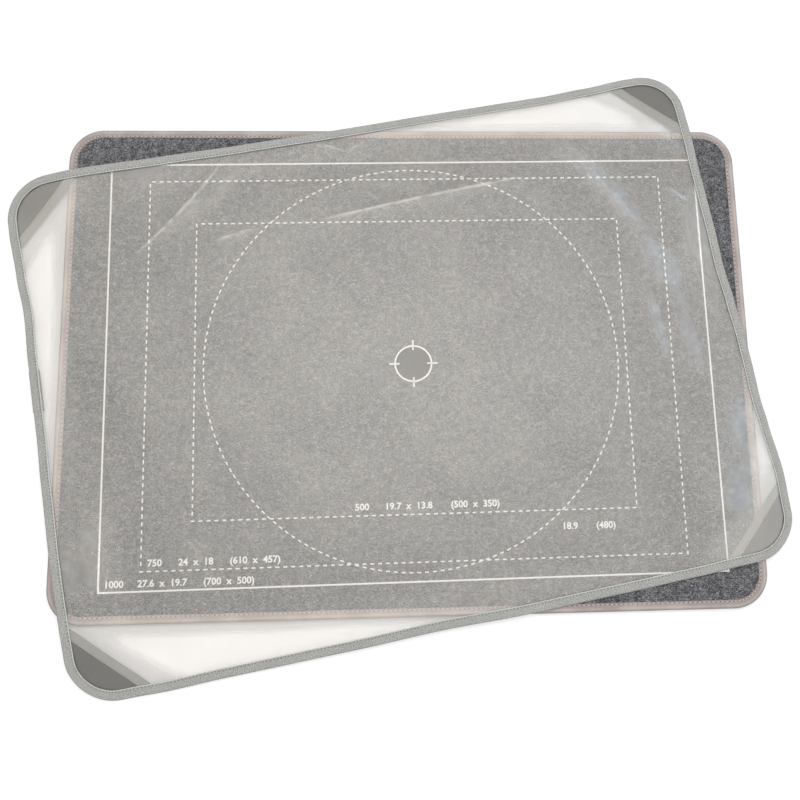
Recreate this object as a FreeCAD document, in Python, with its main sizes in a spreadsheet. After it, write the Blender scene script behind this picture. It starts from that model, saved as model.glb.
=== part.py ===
"""A jigsaw puzzle board with its loose, see-through protective cover lying on it.

Millimetres, +Z up, +Y away from the viewer. The origin is the middle of the board's underside.
The board is a stiff core with felt on top and a lining below, bound round the rim by a folded
tape. The cover is a film in a folded woven tape, with a cloth pocket under each corner. It lies
on the board turned by a few degrees, and droops past the board's straight edges.
"""

import FreeCAD, Part
import math
import os

import Sketcher

# The driving dimensions: alias, value and what it is.
SIZES = [
    ("board_length", 800.0, "board, left to right"),
    ("board_width", 580.0, "board, front to back"),
    ("board_corner", 40.0, "radius of the board's corners"),
    ("core_thickness", 4.0, "stiff sheet inside the board"),
    ("felt_thickness", 2.0, "felt, where the tape doesn't pinch it"),
    ("lining_rim", 0.2, "underside lining, where the tape pinches it"),
    ("tape_thickness", 0.8, "board's rim tape"),
    ("tape_cover", 9.0, "how far the board's rim tape covers each face"),
    ("tape_proud", 0.4, "how far that tape stands above the felt"),
    ("tape_bend", 1.2, "inner radius that the tape folds to, made as a flat ease"),
    ("cover_gap", 0.3, "air between board and cover"),
    ("cover_length", 823.0, "cover, along its long side"),
    ("cover_width", 610.0, "cover, along its short side"),
    ("cover_corner", 50.0, "radius of the cover's corners"),
    ("cover_x", -16.4, "middle of the cover, to the right of the board's"),
    ("cover_y", -4.6, "middle of the cover, behind the board's"),
    ("cover_turn", 10.2, "degrees that the cover lies turned, anticlockwise"),
    ("film_thickness", 0.4, "see-through sheet"),
    ("ribbon_thickness", 0.5, "cover's rim tape"),
    ("ribbon_cover", 11.0, "how far the cover's rim tape covers each face"),
    ("ribbon_round", 0.7, "rounding of that tape's outer fold"),
    ("pocket_thickness", 0.4, "cloth of the corner pockets"),
    ("pocket_leg", 95.0, "from the cover's square corner to the end of a pocket's free edge"),
    ("hem_thickness", 0.25, "tape folded over a pocket's free edge"),
    ("hem_width", 9.5, "visible width of that tape"),
    ("hem_caught", 8.0, "how far the hem's ends run into the cover's rim tape"),
    ("lap_length", 48.0, "overlap of the cover's rim tape on its left side"),
    ("lap_place", 48.0, "middle of that overlap, behind the cover's middle"),
    ("droop_bend", 80.0, "radius that the cover bends to at a board edge"),
    ("droop_left", 6.55, "degrees that the cover slopes down past the left edge"),
    ("droop_right", 11.0, "the same past the right edge"),
    ("droop_back", 6.25, "the same past the back edge"),
    ("droop_front", 5.45, "the same past the front edge"),
    ("reach", 560.0, "half the size of the block that shapes the droop"),
    ("depth", 80.0, "how far that block reaches below the cover"),
    ("prism_height", 30.0, "how far the cover's outlines are drawn up before they are cut"),
]

# Heights over the table, as expressions of the sheet.
CORE_BASE = "(Sizes.tape_thickness + Sizes.lining_rim)"
FELT_BASE = f"({CORE_BASE} + Sizes.core_thickness)"
FELT_TOP = f"({FELT_BASE} + Sizes.felt_thickness)"
BOARD_TOP = f"({FELT_TOP} + Sizes.tape_proud)"
COVER_BASE = f"({BOARD_TOP} + Sizes.cover_gap)"
FELT_RIM = "(Sizes.felt_thickness + Sizes.tape_proud - Sizes.tape_thickness)"
TAPE_ROUND = "(Sizes.tape_bend + Sizes.tape_thickness)"

# The flat that eases the inside of the tape's folds, and leaves the tape its full thickness.
TAPE_EASE = "((2 - sqrt(2)) * Sizes.tape_bend)"

# Heights of the cover's layers above its own underside.
CLOTH = "2 * Sizes.hem_thickness + Sizes.pocket_thickness"
LAYERS = {
    "bottom": "0",
    "hem_bottom": "Sizes.ribbon_thickness",
    "pocket_bottom": "Sizes.ribbon_thickness + Sizes.hem_thickness",
    "pocket_top": "Sizes.ribbon_thickness + Sizes.hem_thickness + Sizes.pocket_thickness",
    "film_bottom": f"Sizes.ribbon_thickness + {CLOTH}",
    "film_top": f"Sizes.ribbon_thickness + {CLOTH} + Sizes.film_thickness",
    "top": f"2 * Sizes.ribbon_thickness + {CLOTH} + Sizes.film_thickness",
    "lap_bottom": "-1 * Sizes.ribbon_thickness",
    "lap_top": f"3 * Sizes.ribbon_thickness + {CLOTH} + Sizes.film_thickness",
}

# The cover's corners, by the sides of its middle that they lie on.
CORNERS = {
    "back_left": (-1, 1),
    "back_right": (1, 1),
    "front_left": (-1, -1),
    "front_right": (1, -1),
}

START, END = 1, 2
ORIGIN = (-1, START)
X_AXIS, Y_AXIS = -1, -2
QUARTER = math.pi / 2
SAME_PLACE = 0.001

# Turns that lay a sketch's x and y along X and Z, and along Y and Z.
FACING_FRONT = FreeCAD.Rotation(FreeCAD.Vector(1, 0, 0), 90)
FACING_RIGHT = FreeCAD.Rotation(0.5, 0.5, 0.5, 0.5)


def make_sheet(doc):
    """Writes the driving dimensions into the sheet, one row each, with their aliases."""
    sheet = doc.addObject("Spreadsheet::Sheet", "Sizes")
    for row, (alias, value, note) in enumerate(SIZES, start=1):
        sheet.set(f"A{row}", note)
        sheet.set(f"B{row}", str(value))
        sheet.setAlias(f"B{row}", alias)
    doc.recompute()


def sizes_of(sketch, *expressions):
    """What expressions of the sheet come to, to draw a sketch at its real size from the start."""
    return [float(sketch.evalExpression(expression)) for expression in expressions]


def bind(sketch, name, kind, *where, to):
    """Adds a named dimension to a sketch and ties it to an expression of the sheet.

    An angle is given as an expression in degrees.
    """
    (value,) = sizes_of(sketch, to)
    if kind == "Angle":
        value, to = math.radians(value), f"({to}) * 1deg"
    index = sketch.addConstraint(Sketcher.Constraint(kind, *where, value))
    sketch.renameConstraint(index, name)
    sketch.setExpression(f"Constraints.{name}", to)


def bind_place(sketch, name, point, axis, side, to):
    """Ties one coordinate of a point to an expression, on the side of the origin given."""
    kind = "DistanceX" if axis == "x" else "DistanceY"
    ends = (*ORIGIN, *point) if side > 0 else (*point, *ORIGIN)
    bind(sketch, name, kind, *ends, to=to)


def add_line(sketch, start, end):
    points = FreeCAD.Vector(*start, 0), FreeCAD.Vector(*end, 0)
    return sketch.addGeometry(Part.LineSegment(*points), False)


def add_arc(sketch, centre, radius, begin, end):
    circle = Part.Circle(FreeCAD.Vector(*centre, 0), FreeCAD.Vector(0, 0, 1), radius)
    return sketch.addGeometry(Part.ArcOfCircle(circle, begin, end), False)


def tie(sketch, kind, *pairs):
    """Adds the same constraint to each pair, an element or two ends of elements."""
    for pair in pairs:
        sketch.addConstraint(Sketcher.Constraint(kind, *pair))


def draw_rounded_rectangle(sketch, length, width, radius, split=False):
    """A rounded rectangle about the sketch's origin, its sizes given as expressions.

    With split, its front side is two lines that meet in the middle, where a sweep can start.
    """
    x, y, r = sizes_of(sketch, f"({length}) / 2", f"({width}) / 2", radius)
    front = add_line(sketch, (0 if split else -x + r, -y), (x - r, -y))
    right = add_line(sketch, (x, -y + r), (x, y - r))
    back = add_line(sketch, (x - r, y), (-x + r, y))
    left = add_line(sketch, (-x, y - r), (-x, -y + r))
    last = add_line(sketch, (-x + r, -y), (0, -y)) if split else front
    middles = (x - r, -y + r), (x - r, y - r), (-x + r, y - r), (-x + r, -y + r)
    for number, (middle, before, after) in enumerate(
        zip(middles, (front, right, back, left), (right, back, left, last))
    ):
        begin = (number - 1) * QUARTER
        corner = add_arc(sketch, middle, r, begin, begin + QUARTER)
        tie(sketch, "Tangent", (before, END, corner, START), (corner, END, after, START))
        if number == 0:
            first_corner = corner
        else:
            tie(sketch, "Equal", (first_corner, corner))
    tie(sketch, "Horizontal", (back,))
    tie(sketch, "Vertical", (left,))
    tie(sketch, "Symmetric", (right, START, right, END, X_AXIS))
    if split:
        tie(sketch, "Coincident", (last, END, front, START))
        tie(sketch, "PointOnObject", (front, START, Y_AXIS))
        tie(sketch, "Horizontal", (front,))
        tie(sketch, "Symmetric", (last, START, front, END, Y_AXIS))
    else:
        tie(sketch, "Symmetric", (front, START, front, END, Y_AXIS))
    bind(sketch, "span", "Distance", left, START, right, to=length)
    bind(sketch, "breadth", "Distance", back, START, front, to=width)
    bind(sketch, "corner", "Radius", first_corner, to=radius)


def add_body(doc, name):
    body = doc.addObject("PartDesign::Body", name)
    body.Label = name
    return body


def add_sketch(body, name, plane, height="0"):
    """An empty sketch on one of the body's own origin planes, raised by an expression."""
    sketch = body.newObject("Sketcher::SketchObject", name)
    support = next(f for f in body.Origin.OriginFeatures if f.Role == plane)
    sketch.AttachmentSupport = [(support, "")]
    sketch.MapMode = "FlatFace"
    sketch.setExpression("AttachmentOffset.Base.z", height)
    return sketch


def board_outline(body, name, inset, height, split=False):
    """A sketch of the board's outline, drawn in by an inset at a height."""
    sketch = add_sketch(body, name, "XY_Plane", height)
    draw_rounded_rectangle(
        sketch,
        f"Sizes.board_length - 2 * {inset}",
        f"Sizes.board_width - 2 * {inset}",
        f"Sizes.board_corner - {inset}",
        split,
    )
    return sketch


def pad(body, name, sketch, length):
    feature = body.newObject("PartDesign::Pad", name)
    feature.Profile = sketch
    feature.setExpression("Length", length)
    sketch.Visibility = False
    return feature


def ease_edges(doc, body, name, base, height, cut):
    """Chamfers the edges of a feature that lie flat at a height, given in millimetres."""
    doc.recompute()
    edges = [
        f"Edge{number}"
        for number, edge in enumerate(base.Shape.Edges, start=1)
        if abs(edge.BoundBox.ZMin - height) < 1e-6 and abs(edge.BoundBox.ZMax - height) < 1e-6
    ]
    feature = body.newObject("PartDesign::Chamfer", name)
    feature.Base = (base, edges)
    feature.setExpression("Size", cut)


def make_core(doc):
    """The stiff sheet, its lower edge eased where the tape folds under it."""
    body = add_body(doc, "core_panel")
    outline = board_outline(body, "core_outline", "Sizes.tape_thickness", CORE_BASE)
    sheet = pad(body, "core_sheet", outline, "Sizes.core_thickness")
    doc.recompute()
    low = sheet.Shape.BoundBox.ZMin
    ease_edges(doc, body, "core_edge", sheet, low, f"{TAPE_EASE} - Sizes.lining_rim")


def make_felt(doc):
    """The felt: thinner and eased at the rim, where the tape pinches it."""
    body = add_body(doc, "felt_surface")
    rim = board_outline(body, "felt_outline", "Sizes.tape_thickness", FELT_BASE)
    pinched = pad(body, "felt_rim", rim, FELT_RIM)
    doc.recompute()
    ease_edges(doc, body, "felt_edge", pinched, pinched.Shape.BoundBox.ZMax, TAPE_EASE)
    field = board_outline(body, "field_outline", "Sizes.tape_cover", f"{FELT_BASE} + {FELT_RIM}")
    pad(body, "felt_field", field, "Sizes.tape_thickness - Sizes.tape_proud")


def make_lining(doc):
    """The underside lining: flush with the tape in the middle, a thin rim above it."""
    body = add_body(doc, "backing_sheet")
    middle = board_outline(body, "lining_outline", "Sizes.tape_cover", "0")
    pad(body, "lining_field", middle, "Sizes.tape_thickness")
    under_tape = f"(Sizes.tape_thickness + {TAPE_EASE})"
    rim = board_outline(body, "lining_rim_outline", under_tape, "Sizes.tape_thickness")
    pad(body, "lining_under_tape", rim, "Sizes.lining_rim")


def draw_tape_section(sketch):
    """The folded tape in section: a U on its side, open towards the board's middle.

    The sketch's origin is the middle of the board's underside, and the tape is on its low side.
    """
    width, reach, high, t, fold, ease = sizes_of(
        sketch,
        "Sizes.board_width",
        "Sizes.tape_cover",
        BOARD_TOP,
        "Sizes.tape_thickness",
        TAPE_ROUND,
        TAPE_EASE,
    )
    far, near = -width / 2, reach - width / 2
    under = add_line(sketch, (near, 0), (far + fold, 0))
    wall = add_line(sketch, (far, fold), (far, high - fold))
    over = add_line(sketch, (far + fold, high), (near, high))
    end_high = add_line(sketch, (near, high), (near, high - t))
    inner_over = add_line(sketch, (near, high - t), (far + t + ease, high - t))
    ease_high = add_line(sketch, (far + t + ease, high - t), (far + t, high - t - ease))
    inner_wall = add_line(sketch, (far + t, high - t - ease), (far + t, t + ease))
    ease_low = add_line(sketch, (far + t, t + ease), (far + t + ease, t))
    inner_under = add_line(sketch, (far + t + ease, t), (near, t))
    end_low = add_line(sketch, (near, t), (near, 0))
    outer_low = add_arc(sketch, (far + fold, fold), fold, 2 * QUARTER, 3 * QUARTER)
    outer_high = add_arc(sketch, (far + fold, high - fold), fold, QUARTER, 2 * QUARTER)
    tie(
        sketch,
        "Tangent",
        (under, END, outer_low, END),
        (outer_low, START, wall, START),
        (wall, END, outer_high, END),
        (outer_high, START, over, START),
    )
    chain = (over, end_high, inner_over, ease_high, inner_wall, ease_low, inner_under, end_low, under)
    tie(sketch, "Coincident", *((a, END, b, START) for a, b in zip(chain, chain[1:])))
    tie(sketch, "Horizontal", (under,), (over,), (inner_over,), (inner_under,))
    tie(sketch, "Vertical", (wall,), (end_high,), (inner_wall,), (end_low,))
    tie(sketch, "PointOnObject", (under, START, X_AXIS))
    tie(sketch, "Equal", (outer_low, outer_high))
    bind_place(sketch, "edge", (wall, START), "x", -1, "Sizes.board_width / 2")
    bind_place(sketch, "height", (over, START), "y", 1, BOARD_TOP)
    bind(sketch, "cover_high", "DistanceX", wall, END, over, END, to="Sizes.tape_cover")
    bind(sketch, "cover_low", "DistanceX", wall, START, under, START, to="Sizes.tape_cover")
    bind(sketch, "thick_high", "DistanceY", end_high, END, end_high, START, to="Sizes.tape_thickness")
    bind(sketch, "thick_low", "DistanceY", end_low, END, end_low, START, to="Sizes.tape_thickness")
    bind(sketch, "thick_wall", "DistanceX", wall, START, inner_wall, END, to="Sizes.tape_thickness")
    bind(sketch, "fold", "Radius", outer_low, to=TAPE_ROUND)
    for name, kind, line, first, last in (
        ("ease_high_x", "DistanceX", ease_high, END, START),
        ("ease_high_y", "DistanceY", ease_high, END, START),
        ("ease_low_x", "DistanceX", ease_low, START, END),
        ("ease_low_y", "DistanceY", ease_low, END, START),
    ):
        bind(sketch, name, kind, line, first, line, last, to=TAPE_EASE)


def make_board_tape(doc):
    """The board's rim tape: its folded section swept once round the board."""
    body = add_body(doc, "board_binding")
    path = board_outline(body, "tape_path", "0", "0", split=True)
    section = add_sketch(body, "tape_section", "YZ_Plane")
    draw_tape_section(section)
    sweep = body.newObject("PartDesign::AdditivePipe", "tape_sweep")
    sweep.Profile = section
    sweep.Spine = (path, [])


def lay_on_cover(sketch):
    """Places a sketch drawn about the cover's middle where the cover lies, at table height."""
    sketch.Placement = FreeCAD.Placement(
        FreeCAD.Vector(1, 1, 0), FreeCAD.Rotation(FreeCAD.Vector(0, 0, 1), 1)
    )
    sketch.setExpression("Placement.Base.x", "Sizes.cover_x")
    sketch.setExpression("Placement.Base.y", "Sizes.cover_y")
    sketch.setExpression("Placement.Rotation.Angle", "Sizes.cover_turn * 1deg")


def extrude(doc, name, sketch, forwards, backwards="0"):
    """A solid drawn out of a sketch, square to it."""
    solid = doc.addObject("Part::Extrusion", name)
    solid.Base = sketch
    solid.DirMode = "Normal"
    solid.Solid = True
    solid.setExpression("LengthFwd", forwards)
    solid.setExpression("LengthRev", backwards)
    return solid


def combine(doc, kind, name, base, tool):
    """A boolean of two solids: kind is Common or Cut."""
    result = doc.addObject(f"Part::{kind}", name)
    result.Base = base
    result.Tool = tool
    result.Label = name
    return result


def cover_prism(doc, name, inset):
    """The cover's rounded outline, drawn in by an inset and drawn up past every layer."""
    sketch = doc.addObject("Sketcher::SketchObject", f"{name}_outline")
    lay_on_cover(sketch)
    draw_rounded_rectangle(
        sketch,
        f"Sizes.cover_length - 2 * {inset}",
        f"Sizes.cover_width - 2 * {inset}",
        f"Sizes.cover_corner - {inset}",
    )
    return extrude(doc, f"{name}_prism", sketch, "Sizes.prism_height")


def draw_droop(sketch, half, first, second):
    """What lies under the cover in one direction, seen from the side.

    It is flat over the board, whose half size is given, and bends down past both ends of it to
    the slopes given, first at the low end of the sketch's x and then at the high end.
    """
    edge, bend, far, depth = sizes_of(
        sketch, half, "Sizes.droop_bend", "Sizes.reach", "Sizes.depth"
    )
    leans = [math.radians(lean) for lean in sizes_of(sketch, first, second)]
    steps = [(edge + bend * math.sin(lean), bend * (math.cos(lean) - 1)) for lean in leans]
    ends = [z - math.tan(lean) * (far - x) for lean, (x, z) in zip(leans, steps)]
    flat = add_line(sketch, (-edge, 0), (edge, 0))
    bend_high = add_arc(sketch, (edge, -bend), bend, QUARTER - leans[1], QUARTER)
    slope_high = add_line(sketch, steps[1], (far, ends[1]))
    wall_high = add_line(sketch, (far, ends[1]), (far, -depth))
    floor = add_line(sketch, (far, -depth), (-far, -depth))
    wall_low = add_line(sketch, (-far, -depth), (-far, ends[0]))
    slope_low = add_line(sketch, (-far, ends[0]), (-steps[0][0], steps[0][1]))
    bend_low = add_arc(sketch, (-edge, -bend), bend, QUARTER, QUARTER + leans[0])
    tie(
        sketch,
        "Tangent",
        (flat, END, bend_high, END),
        (bend_high, START, slope_high, START),
        (slope_low, END, bend_low, END),
        (bend_low, START, flat, START),
    )
    tie(
        sketch,
        "Coincident",
        (slope_high, END, wall_high, START),
        (wall_high, END, floor, START),
        (floor, END, wall_low, START),
        (wall_low, END, slope_low, START),
    )
    tie(sketch, "Horizontal", (floor,))
    tie(sketch, "Vertical", (wall_high,), (wall_low,))
    tie(sketch, "Symmetric", (flat, START, flat, END, *ORIGIN))
    tie(sketch, "Horizontal", (flat,))
    tie(sketch, "Equal", (bend_low, bend_high))
    bind(sketch, "flat", "DistanceX", flat, START, flat, END, to=f"2 * {half}")
    bind(sketch, "bend", "Radius", bend_high, to="Sizes.droop_bend")
    bind(sketch, "slope_high", "Angle", slope_high, START, flat, START, to=second)
    bind(sketch, "slope_low", "Angle", flat, END, slope_low, END, to=first)
    bind_place(sketch, "far_high", (wall_high, END), "x", 1, "Sizes.reach")
    bind_place(sketch, "far_low", (wall_low, START), "x", -1, "Sizes.reach")
    bind_place(sketch, "low", (floor, START), "y", -1, "Sizes.depth")


def make_droop(doc):
    """The block that fills the space under the cover, from which every layer is cut.

    Seen from the front it droops past the board's left and right edges, and seen from the right
    past its front and back edges. The board's own corners stick out from under the cover, so no
    part of the cover droops both ways.
    """
    sides = (
        ("across", FACING_FRONT, "Sizes.board_length / 2", "Sizes.droop_left", "Sizes.droop_right"),
        ("along", FACING_RIGHT, "Sizes.board_width / 2", "Sizes.droop_front", "Sizes.droop_back"),
    )
    blocks = []
    for name, turn, half, first, second in sides:
        sketch = doc.addObject("Sketcher::SketchObject", f"droop_{name}")
        draw_droop(sketch, half, first, second)
        sketch.Placement = FreeCAD.Placement(FreeCAD.Vector(0, 0, 1), turn)
        sketch.setExpression("Placement.Base.z", COVER_BASE)
        blocks.append(extrude(doc, f"block_{name}", sketch, "Sizes.reach", "Sizes.reach"))
    return combine(doc, "Common", "under_cover", *blocks)


def make_levels(doc, droop):
    """The space under each layer: copies of the block, raised to the layer's height."""
    levels = {}
    for name, height in LAYERS.items():
        level = doc.addObject("App::Link", f"under_{name}")
        level.LinkedObject = droop
        level.setExpression("Placement.Base.z", height)
        levels[name] = level
    return levels


def layer(doc, name, prism, levels, low, high, label=None):
    """What a prism holds between two levels, so a sheet that follows the droop."""
    below_top = combine(doc, "Common", f"{name}_below_top", prism, levels[high])
    return combine(doc, "Cut", label or f"{name}_layer", below_top, levels[low])


def rim_edges(doc, shape, grown):
    """The edges that run along the cover's outline grown by so many millimetres.

    Returns:
        the numbers that a fillet of the shape takes, counted from 1.
    """
    place, half_x, half_y, radius = cover_outline(doc)
    numbers = []
    for number, edge in enumerate(shape.Edges, start=1):
        middle = edge.valueAt((edge.FirstParameter + edge.LastParameter) / 2)
        ends = edge.valueAt(edge.FirstParameter), edge.valueAt(edge.LastParameter)
        run = math.hypot(ends[0].x - ends[1].x, ends[0].y - ends[1].y)
        local = place.inverse().multVec(middle)
        past_x, past_y = abs(local.x) - half_x + radius, abs(local.y) - half_y + radius
        outside = math.hypot(max(past_x, 0), max(past_y, 0)) + min(max(past_x, past_y), 0) - radius
        if abs(outside - grown) < SAME_PLACE and run > SAME_PLACE:
            numbers.append(number)
    return numbers


def cover_outline(doc):
    """Where the cover's outline lies and its half sizes and corner radius, as numbers."""
    x, y, turn, length, width, radius = sizes_of(
        doc.getObject("Sizes"),
        "Sizes.cover_x",
        "Sizes.cover_y",
        "Sizes.cover_turn",
        "Sizes.cover_length",
        "Sizes.cover_width",
        "Sizes.cover_corner",
    )
    place = FreeCAD.Placement(
        FreeCAD.Vector(x, y, 0), FreeCAD.Rotation(FreeCAD.Vector(0, 0, 1), turn)
    )
    return place, length / 2, width / 2, radius


def round_rim(doc, name, solid, radius, grown="0"):
    """Rounds the long edges of a folded tape, where it turns over the cover's rim."""
    doc.recompute()
    radius, grown = sizes_of(doc.getObject("Sizes"), radius, grown)
    rounded = doc.addObject("Part::Fillet", name)
    rounded.Base = solid
    rounded.Edges = [(number, radius, radius) for number in rim_edges(doc, solid.Shape, grown)]
    return rounded


def draw_pocket(sketch, side_x, side_y):
    """A pocket's panel: the cover's rounded corner cut off by a straight free edge."""
    inset = "Sizes.ribbon_thickness"
    half_x, half_y = f"(Sizes.cover_length / 2 - {inset})", f"(Sizes.cover_width / 2 - {inset})"
    reach = f"(Sizes.pocket_leg - 2 * {inset} - sqrt(2) * Sizes.hem_thickness)"
    radius = f"Sizes.cover_corner - {inset}"
    x, y, r, leg = sizes_of(sketch, half_x, half_y, radius, reach)
    x, y = side_x * x, side_y * y
    outer = add_line(sketch, (x, y - side_y * leg), (x, y - side_y * r))
    round_middle = (x - side_x * r, y - side_y * r)
    begin = {(1, 1): 0, (-1, 1): 1, (-1, -1): 2, (1, -1): 3}[side_x, side_y] * QUARTER
    corner = add_arc(sketch, round_middle, r, begin, begin + QUARTER)
    other = add_line(sketch, (x - side_x * r, y), (x - side_x * leg, y))
    open_edge = add_line(sketch, (x - side_x * leg, y), (x, y - side_y * leg))
    first, last = (START, END) if side_x * side_y > 0 else (END, START)
    tie(sketch, "Tangent", (outer, END, corner, first), (corner, last, other, START))
    tie(sketch, "Coincident", (other, END, open_edge, START), (open_edge, END, outer, START))
    tie(sketch, "Vertical", (outer,))
    tie(sketch, "Horizontal", (other,))
    bind_place(sketch, "edge_x", (outer, START), "x", side_x, half_x)
    bind_place(sketch, "edge_y", (other, START), "y", side_y, half_y)
    bind_place(sketch, "free_x", (other, END), "x", side_x, f"{half_x} - {reach}")
    bind_place(sketch, "free_y", (outer, START), "y", side_y, f"{half_y} - {reach}")
    bind(sketch, "round", "Radius", corner, to=radius)


def draw_hem(sketch, side_x, side_y):
    """A hem's tape laid flat: a straight strip along the pocket's free edge."""
    half_x, half_y = "Sizes.cover_length / 2", "Sizes.cover_width / 2"
    end = "(Sizes.ribbon_cover - Sizes.hem_caught)"
    inner_leg = "(Sizes.pocket_leg - sqrt(2) * Sizes.hem_width)"
    x, y, leg, inner, tuck = sizes_of(sketch, half_x, half_y, "Sizes.pocket_leg", inner_leg, end)
    x, y = side_x * x, side_y * y
    corners = [(tuck, leg - tuck), (leg - tuck, tuck), (inner - tuck, tuck), (tuck, inner - tuck)]
    places = [(x - side_x * p, y - side_y * q) for p, q in corners]
    edges = [add_line(sketch, a, b) for a, b in zip(places, places[1:] + places[:1])]
    free_edge, end_y, inner_edge, end_x = edges
    tie(sketch, "Coincident", *((a, END, b, START) for a, b in zip(edges, edges[1:] + edges[:1])))
    tie(sketch, "Horizontal", (end_y,))
    tie(sketch, "Vertical", (end_x,))
    for name, edge, reach, by_x, by_y in (
        ("free", free_edge, "Sizes.pocket_leg", START, END),
        ("inner", inner_edge, inner_leg, END, START),
    ):
        far_x, far_y = f"{half_x} - ({reach} - {end})", f"{half_y} - ({reach} - {end})"
        bind_place(sketch, f"{name}_x", (edge, by_y), "x", side_x, far_x)
        bind_place(sketch, f"{name}_y", (edge, by_x), "y", side_y, far_y)
    bind_place(sketch, "end_x", (end_x, END), "x", side_x, f"{half_x} - {end}")
    bind_place(sketch, "end_y", (end_y, START), "y", side_y, f"{half_y} - {end}")


def make_pocket(doc, corner, levels):
    """One corner's pocket panel and the hem tape folded over its free edge."""
    solids = {}
    for kind, draw in (("pocket", draw_pocket), ("hem", draw_hem)):
        sketch = doc.addObject("Sketcher::SketchObject", f"{kind}_{corner}_outline")
        lay_on_cover(sketch)
        draw(sketch, *CORNERS[corner])
        solids[kind] = extrude(doc, f"{kind}_{corner}_prism", sketch, "Sizes.prism_height")
    panel = f"pocket_{corner}"
    cloth = layer(doc, panel, solids["pocket"], levels, "pocket_bottom", "pocket_top", panel)
    folded = layer(doc, f"hem_{corner}", solids["hem"], levels, "hem_bottom", "film_bottom")
    combine(doc, "Cut", f"hem_{corner}", folded, cloth)


def make_cover_tape(doc, levels):
    """The cover's rim tape: a band round the rim, rounded outside, hollow where the film sits.

    Returns:
        the whole rim before it is hollowed, which the tape's lapped end folds over.
    """
    whole = cover_prism(doc, "rim", "0")
    square = layer(doc, "rim", whole, levels, "bottom", "top")
    band = round_rim(doc, "rim_band", square, "Sizes.ribbon_round")
    window = cover_prism(doc, "window", "Sizes.ribbon_cover")
    channel = cover_prism(doc, "channel", "Sizes.ribbon_thickness")
    hollow = layer(doc, "channel", channel, levels, "hem_bottom", "film_top")
    ring = combine(doc, "Cut", "rim_ring", band, window)
    combine(doc, "Cut", "cover_binding", ring, hollow)
    return band


def make_lap(doc, levels, band):
    """The end of the cover's rim tape, lapped over its start on the left side."""
    sketch = doc.addObject("Sketcher::SketchObject", "lap_outline")
    lay_on_cover(sketch)
    half = "Sizes.cover_length / 2"
    low_end = "Sizes.lap_place - Sizes.lap_length / 2"
    high_end = "Sizes.lap_place + Sizes.lap_length / 2"
    reach, ribbon, t, low, high = sizes_of(
        sketch, half, "Sizes.ribbon_cover", "Sizes.ribbon_thickness", low_end, high_end
    )
    far, near = -reach - t, ribbon - reach
    places = [(far, low), (near, low), (near, high), (far, high)]
    edges = [add_line(sketch, a, b) for a, b in zip(places, places[1:] + places[:1])]
    tie(sketch, "Coincident", *((a, END, b, START) for a, b in zip(edges, edges[1:] + edges[:1])))
    tie(sketch, "Horizontal", (edges[0],), (edges[2],))
    tie(sketch, "Vertical", (edges[1],), (edges[3],))
    bind_place(sketch, "far", (edges[0], START), "x", -1, f"{half} + Sizes.ribbon_thickness")
    bind_place(sketch, "near", (edges[0], END), "x", -1, f"{half} - Sizes.ribbon_cover")
    bind_place(sketch, "start", (edges[0], START), "y", 1, low_end)
    bind_place(sketch, "end", (edges[2], START), "y", 1, high_end)
    prism = extrude(doc, "lap_prism", sketch, "Sizes.prism_height")
    square = layer(doc, "lap", prism, levels, "lap_bottom", "lap_top")
    outer = "Sizes.ribbon_round + Sizes.ribbon_thickness"
    lapped = round_rim(doc, "lap_band", square, outer, "Sizes.ribbon_thickness")
    combine(doc, "Cut", "cover_binding_end", lapped, band)


def make_film(doc, levels):
    """The see-through sheet, its rim in the fold of the tape."""
    sheet = cover_prism(doc, "film", "Sizes.ribbon_thickness")
    layer(doc, "film", sheet, levels, "film_bottom", "film_top", "cover_film")


def export(doc, names):
    """Checks every object and every sub-part, then writes each sub-part to its own file."""
    doc.recompute()
    for thing in doc.Objects:
        if {"Invalid", "Error"} & set(thing.State):
            raise RuntimeError(f"{thing.Name} failed to compute: {thing.State}")
    os.makedirs("parts", exist_ok=True)
    parts = [(name, doc.getObjectsByLabel(name)[0].Shape) for name in names]
    for name, shape in parts:
        if shape.isNull() or not shape.isValid() or len(shape.Solids) != 1:
            raise RuntimeError(f"{name} isn't one valid solid")
    for name, shape in parts:
        shape.exportStep(f"parts/{name}.step")
        box = shape.optimalBoundingBox()
        print(f"{name}: {shape.Volume:.0f} mm3, z {box.ZMin:.2f} to {box.ZMax:.2f}")


def main():
    doc = FreeCAD.newDocument("puzzle_board")
    make_sheet(doc)
    make_core(doc)
    make_felt(doc)
    make_lining(doc)
    make_board_tape(doc)
    levels = make_levels(doc, make_droop(doc))
    for corner in CORNERS:
        make_pocket(doc, corner, levels)
    make_film(doc, levels)
    band = make_cover_tape(doc, levels)
    make_lap(doc, levels, band)
    board = ["core_panel", "felt_surface", "backing_sheet", "board_binding"]
    cover = ["cover_film", "cover_binding", "cover_binding_end"]
    corners = [f"{kind}_{corner}" for kind in ("pocket", "hem") for corner in CORNERS]
    export(doc, board + cover + corners)


main()
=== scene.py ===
"""A jigsaw puzzle board with its see-through cover lying loose and turned on top of it.

The board is a stiff panel under heather felt, bound with sewn imitation leather and printed with
the outlines of common puzzle sizes. The cover is a frosted sheet bound with woven tape, with a
cloth pocket under each corner. Sizes are in millimetres until they are written into a mesh.
"""

import logging
import math
from collections.abc import Callable, Iterator
from contextlib import contextmanager
from dataclasses import dataclass, field, replace
from enum import Enum

import bpy
import numpy as np
from mathutils import Matrix, Vector


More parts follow.
